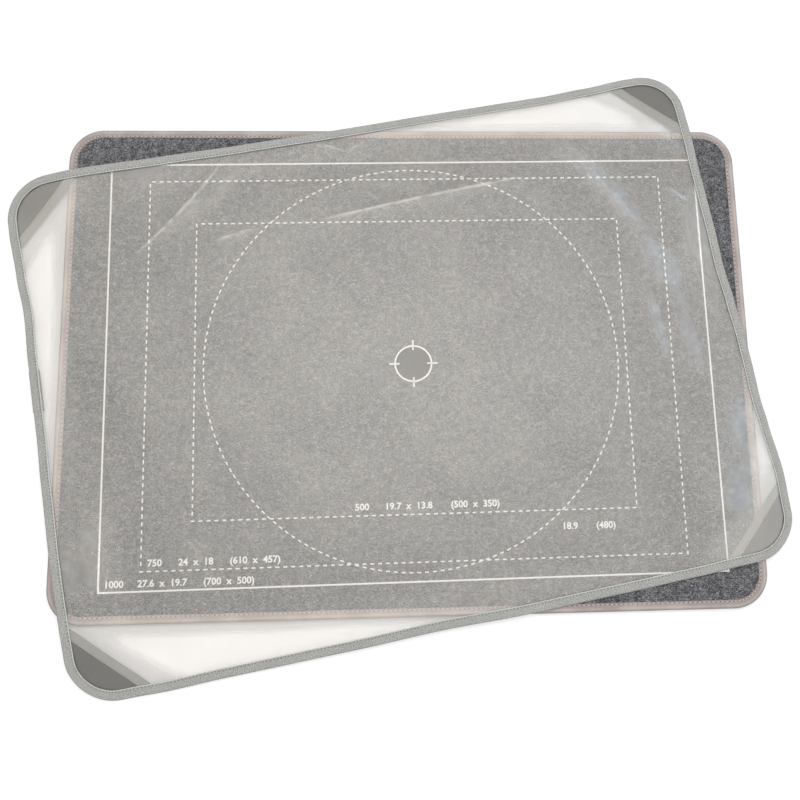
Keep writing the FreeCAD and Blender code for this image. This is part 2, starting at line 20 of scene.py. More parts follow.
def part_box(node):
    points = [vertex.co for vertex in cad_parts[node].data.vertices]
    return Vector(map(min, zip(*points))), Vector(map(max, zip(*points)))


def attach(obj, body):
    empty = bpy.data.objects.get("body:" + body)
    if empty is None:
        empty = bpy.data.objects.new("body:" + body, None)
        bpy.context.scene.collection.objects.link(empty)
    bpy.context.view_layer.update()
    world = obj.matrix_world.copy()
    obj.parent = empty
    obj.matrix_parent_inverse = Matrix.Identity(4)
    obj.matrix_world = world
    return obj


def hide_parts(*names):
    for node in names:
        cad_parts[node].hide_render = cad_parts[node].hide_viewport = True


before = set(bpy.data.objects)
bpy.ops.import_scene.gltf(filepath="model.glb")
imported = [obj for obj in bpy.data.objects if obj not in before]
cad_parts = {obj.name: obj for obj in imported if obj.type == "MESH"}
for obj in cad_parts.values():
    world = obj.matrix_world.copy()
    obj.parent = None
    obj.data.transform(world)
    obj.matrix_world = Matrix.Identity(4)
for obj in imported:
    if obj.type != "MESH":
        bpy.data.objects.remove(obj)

Array = np.ndarray
Material = bpy.types.Material
Piece = bpy.types.Object
Socket = bpy.types.NodeSocket
Tree = bpy.types.NodeTree

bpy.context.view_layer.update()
MM = 0.001
WELD = 1e-6
EASE = 0.3  # over how many millimetres the crease between two heights is rounded
QUARTER_TURN = math.pi / 2
PICTURE = 800
WHITE = "ffffff"
GAP = "gap_below"
CLEARER = "clearer_share"

log = logging.getLogger("puzzle_board")


class Corner(Enum):
    """The four corners of the cover, each with the signs of its place along and across."""

    BACK_LEFT = ("back_left", -1, 1)
    BACK_RIGHT = ("back_right", 1, 1)
    FRONT_LEFT = ("front_left", -1, -1)
    FRONT_RIGHT = ("front_right", 1, -1)

    @property
    def word(self) -> str:
        """The corner's name in the names of pieces."""
        return self.value[0]

    @property
    def signs(self) -> tuple[int, int]:
        """The signs of the corner's place along the cover and across it."""
        return self.value[1:]


class Leg(Enum):
    """Which face of an edge a folded tape's seam shows on."""

    UPPER = 1
    LOWER = -1


def linear(code: str) -> tuple[float, float, float, float]:
    """Turns an sRGB colour into the linear one that a shader takes.

    Args:
        code: six hex digits.

    Returns:
        Red, green, blue and an alpha of 1.
    """
    parts = [int(code[at:at + 2], 16) / 255 for at in (0, 2, 4)]
    parts = [p / 12.92 if p <= 0.04045 else ((p + 0.055) / 1.055) ** 2.4 for p in parts]
    return (*parts, 1.0)


def smooth(value: Array) -> Array:
    """Eases 0 to 1 with level ends, and holds still outside them."""
    held = np.clip(value, 0.0, 1.0)
    return held * held * (3.0 - 2.0 * held)


def higher(first: Array, second: Array) -> Array:
    """The higher of two heights, with the crease between them rounded."""
    return 0.5 * (first + second + np.sqrt((first - second) ** 2 + EASE**2))


def turned(x: Array, y: Array, angle: Array | float) -> tuple[Array, Array]:
    """Turns places about the origin, anticlockwise by an angle in radians."""
    cos_angle, sin_angle = np.cos(angle), np.sin(angle)
    return x * cos_angle - y * sin_angle, x * sin_angle + y * cos_angle


def rows(*columns: Array) -> Array:
    """Puts coordinates side by side, a row for each point."""
    return np.stack(columns, axis=1)


def upright(count: int, sign: float = 1.0) -> Array:
    """Rows that all point straight up, or down where the sign is less than nothing."""
    return np.tile([0.0, 0.0, sign], (count, 1))


def pick(piece: Piece) -> None:
    """Makes a piece the only selected and the active one.

    Args:
        piece: the piece.
    """
    bpy.ops.object.select_all(action="DESELECT")
    piece.select_set(True)
    bpy.context.view_layer.objects.active = piece


def join(pieces: list[Piece]) -> Piece:
    """Joins pieces to the first of them.

    Args:
        pieces: the pieces.

    Returns:
        The first piece, which holds them all.
    """
    pick(pieces[0])
    for piece in pieces[1:]:
        piece.select_set(True)
    bpy.ops.object.join()
    return pieces[0]


@contextmanager
def editing(piece: Piece, whole: bool = True) -> Iterator[None]:
    """Opens a piece's mesh for editing, and closes it afterwards.

    Args:
        piece: the piece.
        whole: whether all of it is selected, or only what was chosen before.
    """
    pick(piece)
    bpy.ops.object.mode_set(mode="EDIT")
    if whole:
        bpy.ops.mesh.select_all(action="SELECT")
    yield
    bpy.ops.object.mode_set(mode="OBJECT")


def start_piece(name: str, operator: Callable, **settings: object) -> Piece:
    """Adds a piece with nothing else selected.

    Args:
        name: the piece's name.
        operator: what adds it.
        **settings: the operator's own settings.

    Returns:
        The piece.
    """
    bpy.ops.object.select_all(action="DESELECT")
    operator(**settings)
    piece = bpy.context.object
    piece.name = piece.data.name = name
    return piece


def points_of(piece: Piece) -> Array:
    """Reads a piece's points.

    Args:
        piece: the piece.

    Returns:
        Rows of x, y and z in the mesh's own unit, which is the metre.
    """
    flat = np.zeros(len(piece.data.vertices) * 3)
    piece.data.vertices.foreach_get("co", flat)
    return flat.reshape(-1, 3)


def set_points(piece: Piece, points: Array) -> None:
    """Moves a piece's points to places given in millimetres."""
    piece.data.vertices.foreach_set("co", (points * MM).astype(np.float32).ravel())
    piece.data.update()


def weave_grid(name: str, cells: tuple[int, int], size: tuple[float, float]) -> tuple[Piece, Array]:
    """Adds a flat grid that is then laid out as cloth.

    Args:
        name: the piece's name.
        cells: cells along and across.
        size: the cloth's real length and width, for its weave.

    Returns:
        The piece, and its points' places as shares from 0 to 1 along and across.
    """
    piece = start_piece(name, bpy.ops.mesh.primitive_grid_add,
                        x_subdivisions=cells[0], y_subdivisions=cells[1], size=1.0)
    weave = piece.data.uv_layers.active.uv
    flat = np.zeros(len(weave) * 2)
    weave.foreach_get("vector", flat)
    weave.foreach_set("vector", (flat.reshape(-1, 2) * np.array(size) * MM).ravel())
    return piece, points_of(piece)[:, :2] + 0.5


def weld(piece: Piece) -> None:
    """Joins points that lie on each other, such as a ring's first and last."""
    with editing(piece):
        bpy.ops.mesh.remove_doubles(threshold=WELD)


def thicken(piece: Piece, thickness: float, even: bool = True) -> None:
    """Gives a laid sheet its thickness, half of it to each side, and softens its shading.

    Args:
        piece: the sheet.
        thickness: its thickness.
        even: whether bends keep the full thickness, which a sheet with pointed ends can't.
    """
    pick(piece)
    wall = piece.modifiers.new("thickness", "SOLIDIFY")
    wall.thickness = thickness * MM
    wall.offset = 0.0
    wall.use_even_offset = even
    bpy.ops.object.modifier_apply(modifier=wall.name)
    bpy.ops.object.shade_smooth_by_angle(angle=math.radians(50))


def copy_along(name: str, pattern: Piece, places: Array, along: Array, up: Array) -> Piece:
    """Makes one mesh with a copy of a small pattern at each place.

    Args:
        name: the new piece's name.
        pattern: the modelled shape, about the origin.
        places: where each copy goes.
        along: the way that each copy's x axis points.
        up: the way that each copy's z axis points.

    Returns:
        The new piece. The pattern is removed.
    """
    corners = points_of(pattern) / MM
    faces = [tuple(face.vertices) for face in pattern.data.polygons]
    along = along / np.linalg.norm(along, axis=1, keepdims=True)
    side = np.cross(up, along)
    side /= np.linalg.norm(side, axis=1, keepdims=True)
    ways = (along, side, np.cross(along, side))
    spread = places[:, None] + sum(
        corners[None, :, axis, None] * way[:, None] for axis, way in enumerate(ways)
    )
    count = len(corners)
    made = bpy.data.meshes.new(name)
    made.from_pydata(
        (spread.reshape(-1, 3) * MM).tolist(),
        [],
        [tuple(at + copy * count for at in face) for copy in range(len(places)) for face in faces],
    )
    made.shade_smooth()
    bpy.data.objects.remove(pattern)
    piece = bpy.data.objects.new(name, made)
    bpy.context.scene.collection.objects.link(piece)
    return piece


def thread_bead(length: float, width: float, height: float) -> Piece:
    """Models a short bead of thread, or a dark oval of painted shade where a needle hole lies.

    Args:
        length: its length along the seam.
        width: its width.
        height: its thickness.

    Returns:
        The bead.
    """
    bead = start_piece("bead", bpy.ops.mesh.primitive_uv_sphere_add,
                       segments=6, ring_count=5, radius=0.5 * MM)
    with editing(bead):
        bpy.ops.transform.rotate(value=QUARTER_TURN, orient_axis="Y", center_override=(0, 0, 0))
        bpy.ops.transform.resize(value=(length, width, height), center_override=(0, 0, 0))
    return bead


@dataclass(frozen=True)
class Outline:
    """A rounded rectangle about the origin."""

    half_length: float
    half_width: float
    corner: float

    @property
    def length(self) -> float:
        """The way once round it."""
        straight = 4 * (self.half_length + self.half_width - 2 * self.corner)
        return straight + 2 * math.pi * self.corner

    def walk(self, distance: Array) -> tuple[Array, Array]:
        """Follows the outline anticlockwise from the left end of its front side.

        Args:
            distance: how far each point is along it.

        Returns:
            The points, and the unit vectors that point inward there.
        """
        legs = np.array([self.half_length - self.corner, self.half_width - self.corner])
        starts = np.array([0.0, 2 * legs[0], 2 * legs.sum(), 2 * legs.sum() + 2 * legs[0]])
        starts += np.arange(4) * QUARTER_TURN * self.corner
        left = np.mod(distance, self.length)
        side = np.clip(np.searchsorted(starts, left, side="right") - 1, 0, 3)
        left = left - starts[side]
        half, across = legs[side % 2], legs[(side + 1) % 2]
        bend = np.clip((left - 2 * half) / self.corner, 0, QUARTER_TURN)
        east = np.minimum(left, 2 * half) - half + self.corner * np.sin(bend)
        north = -across - self.corner * np.cos(bend)
        turn = side * QUARTER_TURN
        return rows(*turned(east, north, turn)), rows(*turned(-np.sin(bend), np.cos(bend), turn))

    def outside(self, x: Array, y: Array) -> Array:
        """How far points lie outside the outline.

        Args:
            x: places along it.
            y: places across it.

        Returns:
            The distances, less than nothing inside it.
        """
        along = np.abs(x) - (self.half_length - self.corner)
        across = np.abs(y) - (self.half_width - self.corner)
        beyond = np.hypot(np.maximum(along, 0), np.maximum(across, 0))
        return beyond + np.minimum(np.maximum(along, across), 0) - self.corner

    def fill(self, shares: Array) -> Array:
        """Spreads a square grid over the outline's inside, with its corners pulled round.

        Args:
            shares: places from 0 to 1 along and across.

        Returns:
            The places in millimetres.
        """
        half = np.array([self.half_length, self.half_width])
        flat = (shares * 2 - 1) * half
        reach = np.clip((np.abs(flat) - half + self.corner) / self.corner, 0, 1)
        pulled = reach * np.sqrt(1 - reach[:, ::-1] ** 2 / 2)
        return flat - np.sign(flat) * (reach - pulled) * self.corner

    def inset(self, by: float) -> "Outline":
        """The same outline drawn in by a distance."""
        return Outline(self.half_length - by, self.half_width - by, self.corner - by)


@dataclass(frozen=True)
class Sway:
    """How far a soft side strays outward, as pairs of place and stray."""

    knots: tuple[tuple[float, float], ...]

    def at(self, place: Array) -> Array:
        """The stray at each place along the side, eased from knot to knot.

        Args:
            place: the places.

        Returns:
            The strays.
        """
        spots, strays = np.array(self.knots).T
        index = np.clip(np.searchsorted(spots, place) - 1, 0, len(spots) - 2)
        share = smooth((place - spots[index]) / (spots[index + 1] - spots[index]))
        return strays[index] + (strays[index + 1] - strays[index]) * share


def feed(node: bpy.types.Node, inputs: dict | tuple) -> None:
    """Fills a node's inputs.

    Args:
        node: the node.
        inputs: what goes into each named or numbered socket, or into the first ones in their own
            order: a value, a colour's hex digits or another node's output.
    """
    wanted = inputs if isinstance(inputs, dict) else dict(enumerate(inputs))
    for socket, value in wanted.items():
        if isinstance(value, Socket):
            node.id_data.links.new(value, node.inputs[socket])
        else:
            node.inputs[socket].default_value = linear(value) if isinstance(value, str) else value


def add(tree: Tree, kind: str, inputs: dict | tuple = (), out: int | str = 0,
        **settings: str | bool) -> Socket:
    """Adds one node with its settings, values and links.

    Args:
        tree: the node tree.
        kind: the node's type, without the word ShaderNode before it.
        inputs: its inputs, as feed takes them.
        out: which of its outputs is used.
        **settings: the node's own properties.

    Returns:
        That output.
    """
    made = tree.nodes.new("ShaderNode" + kind)
    for name, value in settings.items():
        setattr(made, name, value)
    feed(made, inputs)
    return made.outputs[out]


def start_material(name: str, space: str = "Object") -> tuple[Material, Tree, bpy.types.Node, Socket]:
    """Starts a node material.

    Args:
        name: the finish's name.
        space: the coordinates that its pattern follows.

    Returns:
        The material, its node tree, its Principled shader and the surface's coordinates.
    """
    material = bpy.data.materials.new(name)
    material.use_nodes = True
    tree = material.node_tree
    return material, tree, tree.nodes["Principled BSDF"], add(tree, "TexCoord", out=space)


def per(size: float) -> float:
    """The scale at which a pattern's size on the surface is this many millimetres."""
    return 1 / (size * MM)


def dress(piece: Piece, material: Material) -> None:
    """Gives a piece its finish, in the slots that it has or in a new one.

    Args:
        piece: the piece.
        material: the finish.
    """
    if not piece.material_slots:
        piece.data.materials.append(material)
    for place in piece.material_slots:
        place.material = material


@dataclass(frozen=True)
class HeatherFelt:
    """Needled polyester felt of mixed dark and pale fibres: a soft, speckled charcoal."""

    dark: str = "2e2e32"
    middle: str = "56565a"
    pale: str = "b0afaf"
    fibre_width: float = 0.75  # coarser than the real 0.05, so that single fibres show
    fibre_length: float = 1.9
    curl: float = 4.0
    speck: float = 1.2
    clump: float = 8.0
    nap: float = 0.35
    layers: tuple[tuple[float, float], ...] = ((0.5, 0.0), (-0.7, 3.1), (1.9, 7.3))  # turn and shift

    def make(self) -> Material:
        """Builds the felt: specks of dark and middle grey, with curled pale fibres over them.

        Returns:
            The material.
        """
        material, tree, shader, place = start_material("heather_needle_felt")
        curl = add(tree, "TexNoise", {"Vector": place, "Scale": per(self.curl), "Detail": 1.0}, "Color")
        centred = add(tree, "VectorMath", (curl, (0.5, 0.5, 0.5)), operation="SUBTRACT")
        bent = add(tree, "VectorMath", (centred, (self.curl * MM, self.curl * MM, 0.0), place),
                   operation="MULTIPLY_ADD")
        specks = add(tree, "TexNoise",
                     {"Vector": place, "Scale": per(self.speck), "Detail": 2.0, "Roughness": 0.6})
        clumps = add(tree, "TexNoise",
                     {"Vector": place, "Scale": per(self.clump), "Detail": 3.0, "Roughness": 0.6})
        clump = add(tree, "MapRange", (clumps, 0.3, 0.7, -0.5, 0.5))
        mixed = add(tree, "Math", (clump, 0.1, specks), operation="MULTIPLY_ADD")
        height = depth = add(tree, "MapRange", (mixed, 0.3, 0.7))
        colour = add(tree, "Mix", {0: depth, 6: self.dark, 7: self.middle}, 2, data_type="RGBA")
        scale = (per(self.fibre_length), per(self.fibre_width), per(self.fibre_width))
        for angle, shift in self.layers:
            combed = add(tree, "Mapping", (bent, (shift, shift, 0.0), (0.0, 0.0, angle), scale))
            streaks = add(tree, "TexNoise", {"Vector": combed, "Scale": 1.0, "Detail": 1.0})
            grown = add(tree, "Math", (clump, 0.09, streaks), operation="MULTIPLY_ADD")
            fibre = add(tree, "MapRange", (grown, 0.53, 0.7, 0.0, 0.54),
                        interpolation_type="SMOOTHSTEP")
            colour = add(tree, "Mix", {0: fibre, 6: colour, 7: self.pale}, 2, data_type="RGBA")
            height = add(tree, "Math", (height, fibre), operation="MAXIMUM")
        bump = add(tree, "Bump", {"Height": height, "Distance": self.nap * MM, "Strength": 0.7})
        feed(shader, {"Base Color": colour, "Normal": bump, "Roughness": 0.95,
                      "Specular IOR Level": 0.2, "Sheen Weight": 0.12, "Sheen Roughness": 0.6})
        return material


@dataclass(frozen=True)
class ImitationLeather:
    """Polyurethane leathercloth, embossed with a fine pebble, worn pale in patches, with a painted
    highlight along its fold: dull taupe.
    """

    colour: str = "a99d98"
    wear_and_highlight: str = "cbc1bb"
    pebble: float = 1.1
    grain: float = 0.5
    wear: float = 30.0
    relief: float = 0.12
    fold: float = 6.4  # how far in from the tape's edge the band of painted highlight lies, where it folds over
    fold_highlight_reach: float = 2.6

    def make(self) -> Material:
        """Builds the leathercloth: pebbles with darker valleys, pale worn patches and a pale band of
        painted highlight along the fold.

        Returns:
            The material.
        """
        material, tree, shader, place = start_material("embossed_leathercloth")
        pebbles = add(tree, "TexVoronoi", {"Vector": place, "Scale": per(self.pebble)})
        grain = add(tree, "TexNoise", {"Vector": place, "Scale": per(self.grain), "Detail": 2.0})
        wear = add(tree, "TexNoise", {"Vector": place, "Scale": per(self.wear), "Detail": 3.0})
        across = add(tree, "SeparateXYZ", (add(tree, "TexCoord", out="UV"),), 1)
        off = add(tree, "Math", (across, self.fold * MM), operation="SUBTRACT")
        away = add(tree, "Math", (off,), operation="ABSOLUTE")
        # painted highlight: a pale band where the tape's fold catches the light, added to the worn
        # patches
        folded = add(tree, "MapRange", (away, 0.0, self.fold_highlight_reach * MM, 0.3, 0.0),
                     interpolation_type="SMOOTHSTEP")
        wear_and_fold_highlight = add(tree, "Math", (wear, folded), operation="ADD")
        wear_and_highlight = add(tree, "MapRange", (wear_and_fold_highlight, 0.45, 0.85, 0.0, 0.9))
        base = add(tree, "Mix", {0: wear_and_highlight, 6: self.colour, 7: self.wear_and_highlight}, 2, data_type="RGBA")
        valley = add(tree, "MapRange", (pebbles, 0.25, 0.8, 1.0, 0.86))
        tinted = add(tree, "Mix", {0: 1.0, 6: base, 7: valley}, 2,
                     data_type="RGBA", blend_type="MULTIPLY")
        height = add(tree, "Math", (grain, 0.5, valley), operation="MULTIPLY_ADD")
        bump = add(tree, "Bump", {"Height": height, "Distance": self.relief * MM, "Strength": 0.6})
        shine = add(tree, "MapRange", (wear, 0.35, 0.7, 0.62, 0.48))
        feed(shader, {"Base Color": tinted, "Roughness": shine, "Normal": bump, "IOR": 1.48})
        return material


@dataclass(frozen=True)
class WovenTape:
    """Polyester binding tape, plain woven from spun yarn: matt, with a fine speckled rib."""

    name: str = "woven_binding_tape"
    thread: str = "d4d2cc"
    shade: str = "888986"
    pick_spacing: float = 1.9  # drawn coarser than the real 0.6, so that the rib shows
    end_spacing: float = 1.5
    hair: float = 1.6
    fading: float = 25.0
    relief: float = 0.12

    def make(self) -> Material:
        """Builds the tape: crossing threads that follow it round, with hairy, uneven yarn.

        Returns:
            The material.
        """
        material, tree, shader, weave = start_material(self.name, "UV")
        hair = add(tree, "TexNoise",
                   {"Vector": weave, "Scale": per(self.hair), "Detail": 3.0, "Roughness": 0.6})
        slow = add(tree, "TexNoise", {"Vector": weave, "Scale": per(self.fading), "Detail": 2.0})
        ribs = tuple(
            add(tree, "TexWave",
                {"Vector": weave, "Scale": math.pi / (10 * spacing * MM), "Distortion": 1.2,
                 "Detail": 1.0, "Detail Scale": 2.0}, "Fac", bands_direction=direction)
            for direction, spacing in (("X", self.pick_spacing), ("Y", self.end_spacing))
        )
        crossed = add(tree, "Math", ribs, operation="MULTIPLY")
        mixed = add(tree, "Math", (crossed, 0.45, hair), operation="MULTIPLY_ADD")
        share = add(tree, "MapRange", (mixed, 0.38, 0.85))
        colour = add(tree, "Mix", {0: share, 6: self.shade, 7: self.thread}, 2, data_type="RGBA")
        faded = add(tree, "MapRange", (slow, 0.3, 0.7, 0.94, 1.04))
        toned = add(tree, "Mix", {0: 1.0, 6: colour, 7: faded}, 2,
                    data_type="RGBA", blend_type="MULTIPLY")
        bump = add(tree, "Bump", {"Height": mixed, "Distance": self.relief * MM, "Strength": 0.7})
        feed(shader, {"Base Color": toned, "Normal": bump, "Roughness": 0.9,
                      "Specular IOR Level": 0.25, "Sheen Weight": 0.1})
        return material


@dataclass(frozen=True)
class Crease:
    """A fold in the film along a bent line on the cover.

    It stands up by its height, over its breadth, and is whitened along a narrower line: partly the haze
    of creased film, partly a painted highlight where the fold catches the light.
    """

    start: tuple[float, float]
    middle: tuple[float, float]
    end: tuple[float, float]
    height: float
    breadth: float
    line: float
    white: float
    steps: int = 121
    blunt: float = 0.02  # how much of each end is left out, so that the fold doesn't end in a point
    taper: float = 0.6

    def rise(self, along: Array, across: Array) -> Array:
        """How high the fold stands.

        Args:
            along: places along the cover.
            across: places across the cover.

        Returns:
            The heights.
        """
        share = np.linspace(0.0, 1.0, self.steps)[:, None]
        first, second, third = (np.array(spot) for spot in (self.start, self.middle, self.end))
        bend = 2 * second - (first + third) / 2
        path = (1 - share) ** 2 * first + 2 * share * (1 - share) * bend + share**2 * third
        away = np.hypot(along[:, None] - path[None, :, 0], across[:, None] - path[None, :, 1])
        near = away.argmin(axis=1)
        inner = np.clip(share[near, 0], self.blunt, 1 - self.blunt)
        taper = np.sin(math.pi * inner) ** self.taper
        return self.height * taper * np.exp(-((away.min(axis=1) / self.breadth) ** 2))


@dataclass(frozen=True)
class FrostedFilm:
    """Calendered soft film with one matt side: it veils what lies under it, blurs what it stands
    off from, is whitened along its creases, partly as painted highlight, has that whitening tinted
    blue toward the right by a painted reflection of the skylight, and shines softly."""

    tint: str = "f5f0e5"
    sky_reflection: str = "d2e4f2"
    shine: str = "fffdf6"
    through: str = "fefdfc"
    pressed: float = 0.966  # share that goes straight through each face where it lies flat
    loose: float = 0.948  # the same where it stands off the felt
    pressed_gap: float = 0.8
    loose_gap: float = 1.5
    lifted_gap: tuple[float, float] = (2.0, 5.0)
    lifted_white: float = 0.05
    cloud_white: float = 0.035
    blurred: float = 0.5  # share that is scattered where it stands well off
    scatter: float = 0.6
    whiten: float = 0.3
    crease_blur: float = 3.5
    ragged: float = 22.0  # how long the patches are that a fold is stronger and weaker in
    roughness: float = 0.34
    sheen: float = 0.056  # share that each face mirrors
    sheen_roughness: float = 0.5
    cloud: float = 45.0
    grain: float = 1.6
    relief: float = 0.03
    cool_from: float = 120.0  # where along the board the painted reflection of the skylight begins to tint the whitening blue
    cool_full: float = 300.0
    cool_gain: float = 8.0

    def crease_haze_and_highlight(self, tree: Tree, place: Socket, crease: Crease, lie: "Lie",
                     before: Socket | float) -> Socket:
        """Adds one crease's whitening, partly haze and partly painted highlight, along a shallow curve
        through its three points.

        Args:
            tree: the material's node tree.
            place: the surface's coordinates.
            crease: the crease.
            lie: how the cover lies, which turns the crease's points into places on the board.
            before: the whitening so far.

        Returns:
            The whitening with this crease's.
        """
        spots = np.array([crease.start, crease.middle, crease.end])
        first, middle, last = rows(*lie.to_board(spots[:, 0], spots[:, 1]))
        chord, centre = last - first, (first + last) / 2
        half = np.linalg.norm(chord) / 2
        side = np.array([-chord[1], chord[0]]) / (2 * half)
        sag = float(side @ (middle - centre)) / crease.line
        local = add(tree, "Mapping",
                    (place, (centre[0] * MM, centre[1] * MM, 0.0),
                     (0.0, 0.0, math.atan2(chord[1], chord[0])),
                     (half * MM, crease.line * MM, 1.0)), vector_type="TEXTURE")
        along = add(tree, "SeparateXYZ", (local,))
        square = add(tree, "Math", (along, along), operation="MULTIPLY")
        bent = add(tree, "Math", (square, sag, along.node.outputs[1]), operation="MULTIPLY_ADD")
        off = add(tree, "Math", (bent, sag), operation="SUBTRACT")
        away = add(tree, "Math", (off,), operation="ABSOLUTE")
        line = add(tree, "MapRange", (away, 0.0, 1.0, 1.0, 0.0), interpolation_type="SMOOTHSTEP")
        taper = add(tree, "MapRange", (square, 0.15, 1.0, crease.white, 0.0),
                    interpolation_type="SMOOTHSTEP")
        return add(tree, "Math", (line, taper, before), operation="MULTIPLY_ADD")

    def make(self, creases: tuple[Crease, ...], lie: "Lie") -> Material:
        """Builds the film: a clear share, a scattering share and a dull, faintly glossy rest.

        Args:
            creases: the folds along which the film is whitened.
            lie: how the cover lies.

        Returns:
            The material.
        """
        material, tree, shader, place = start_material("frosted_calendered_film")
        haze = add(tree, "TexNoise", {"Vector": place, "Scale": per(self.cloud), "Detail": 4.0})
        shade = add(tree, "MapRange", (haze, 0.3, 0.7, 0.93, 1.05))
        gap = add(tree, "Attribute", out="Fac", attribute_name=GAP)
        lifted = add(tree, "MapRange", (gap, *self.lifted_gap), interpolation_type="SMOOTHSTEP")
        # the creases' whitening: partly the haze of creased film, partly painted highlight along the
        # folds
        crease_haze_and_highlight_share: Socket | float = 0.0
        for crease in creases:
            crease_haze_and_highlight_share = self.crease_haze_and_highlight(tree, place, crease, lie, crease_haze_and_highlight_share)
        patches = add(tree, "TexNoise", {"Vector": place, "Scale": per(self.ragged), "Detail": 3.0})
        uneven = add(tree, "MapRange", (patches, 0.35, 0.65, 0.3, 1.4))
        crease_haze_and_highlight_share = add(tree, "Math", (crease_haze_and_highlight_share, uneven), operation="MULTIPLY")
        cloudy = add(tree, "MapRange", (haze, 0.4, 0.65, 0.0, self.cloud_white))
        veil_white = add(tree, "Math", (lifted, self.lifted_white, cloudy), operation="MULTIPLY_ADD")
        white = add(tree, "Math", (crease_haze_and_highlight_share, veil_white), operation="ADD")
        # painted reflection: toward the right the whitening is tinted blue, as if it mirrored the
        # skylight
        east = add(tree, "SeparateXYZ", (place,))
        sky_reflection_reach = add(tree, "MapRange",
                       (east, self.cool_from * MM, self.cool_full * MM, 0.0, self.cool_gain))
        painted_sky_reflection = add(tree, "Math", (white, sky_reflection_reach), operation="MULTIPLY", use_clamp=True)
        tinted = add(tree, "Mix", {0: painted_sky_reflection, 6: self.tint, 7: self.sky_reflection}, 2, data_type="RGBA")
        colour = add(tree, "Mix", {0: 1.0, 6: tinted, 7: shade}, 2,
                     data_type="RGBA", blend_type="MULTIPLY")
        grain = add(tree, "TexNoise", {"Vector": place, "Scale": per(self.grain), "Detail": 2.0})
        bump = add(tree, "Bump", {"Height": grain, "Distance": self.relief * MM, "Strength": 0.35})
        feed(shader, {"Base Color": colour, "Normal": bump, "Roughness": self.roughness,
                      "IOR": 1.53, "Specular IOR Level": 1.0})
        open_share = add(tree, "MapRange",
                         (gap, self.pressed_gap, self.loose_gap, self.pressed, self.loose))
        veiled = add(tree, "Math", (white, -self.whiten, open_share), operation="MULTIPLY_ADD")
        clearer = add(tree, "Attribute", out="Fac", attribute_name=CLEARER)
        through = add(tree, "Math", (veiled, clearer), operation="ADD", use_clamp=True)
        off_felt = add(tree, "Math", (lifted, self.blurred), operation="MULTIPLY")
        blurred = add(tree, "Math", (crease_haze_and_highlight_share, self.crease_blur, off_felt),
                      operation="MULTIPLY_ADD", use_clamp=True)
        veil = add(tree, "BsdfRefraction",
                   {"Color": self.through, "Roughness": self.scatter, "IOR": 1.35})
        clear = add(tree, "BsdfTransparent", {"Color": self.through})
        passed = add(tree, "MixShader", (blurred, clear, veil))
        whole = add(tree, "MixShader", (through, shader.outputs[0], passed))
        mirror = add(tree, "BsdfGlossy",
                     {"Color": self.shine, "Roughness": self.sheen_roughness, "Normal": bump})
        shining = add(tree, "MixShader", (self.sheen, whole, mirror))
        feed(tree.nodes["Material Output"], {"Surface": shining})
        return material


@dataclass(frozen=True)
class LiningCloth:
    """Thin plain-woven polyester lining, calendered flat: dark grey with a dull sheen."""

    name: str
    thread: str
    shade: str
    spacing: float = 1.2  # drawn coarser than the real 0.25, so that the weave shows
    slub: float = 9.0
    relief: float = 0.03

    def make(self) -> Material:
        """Builds the lining: a fine even check of threads, slightly slubbed.

        Returns:
            The material.
        """
        material, tree, shader, place = start_material(self.name)
        scale = math.pi / (10 * self.spacing * MM)
        threads = tuple(
            add(tree, "TexWave", {"Vector": place, "Scale": scale, "Distortion": 0.6}, "Fac",
                bands_direction=direction)
            for direction in ("X", "Y")
        )
        check = add(tree, "Math", threads, operation="MULTIPLY")
        slub = add(tree, "TexNoise", {"Vector": place, "Scale": per(self.slub), "Detail": 3.0})
        share = add(tree, "Math", (check, 0.6, slub), operation="MULTIPLY_ADD")
        kept = add(tree, "MapRange", (share, 0.3, 1.0))
        colour = add(tree, "Mix", {0: kept, 6: self.shade, 7: self.thread}, 2, data_type="RGBA")
        bump = add(tree, "Bump", {"Height": check, "Distance": self.relief * MM, "Strength": 0.5})
        feed(shader, {"Base Color": colour, "Normal": bump, "Roughness": 0.7, "Sheen Weight": 0.1})
        return material


@dataclass(frozen=True)
class SewingThread:
    """Spun polyester sewing thread: matt, a shade off the tape that it holds."""

    name: str
    colour: str
    dye: float = 1.5

    def make(self) -> Material:
        """Builds the thread: a plain dull yarn with uneven dye.

        Returns:
            The material.
        """
        material, tree, shader, place = start_material(self.name)
        dye = add(tree, "TexNoise", {"Vector": place, "Scale": per(self.dye), "Detail": 2.0})
        share = add(tree, "MapRange", (dye, 0.3, 0.7, 0.8, 1.1))
        colour = add(tree, "Mix", {0: 1.0, 6: self.colour, 7: share}, 2,
                     data_type="RGBA", blend_type="MULTIPLY")
        feed(shader, {"Base Color": colour, "Roughness": 0.8, "Specular IOR Level": 0.3})
        return material


@dataclass(frozen=True)
class ScreenInk:
    """Opaque screen ink printed on felt: chalky, broken up a little by the fibres."""

    name: str = "white_screen_ink"
    ink: str = "f2f2ee"
    broken: str = "c4c4c2"
    fibre: float = 1.0
    relief: float = 0.1

    def make(self) -> Material:
        """Builds the ink: one colour with small breaks where fibres stand through it.

        Returns:
            The material.
        """
        material, tree, shader, place = start_material(self.name)
        breaks = add(tree, "TexNoise", {"Vector": place, "Scale": per(self.fibre), "Detail": 2.0})
        share = add(tree, "MapRange", (breaks, 0.58, 0.72))
        colour = add(tree, "Mix", {0: share, 6: self.ink, 7: self.broken}, 2, data_type="RGBA")
        bump = add(tree, "Bump", {"Height": breaks, "Distance": self.relief * MM, "Strength": 0.4})
        feed(shader, {"Base Color": colour, "Normal": bump, "Roughness": 0.85})
        return material


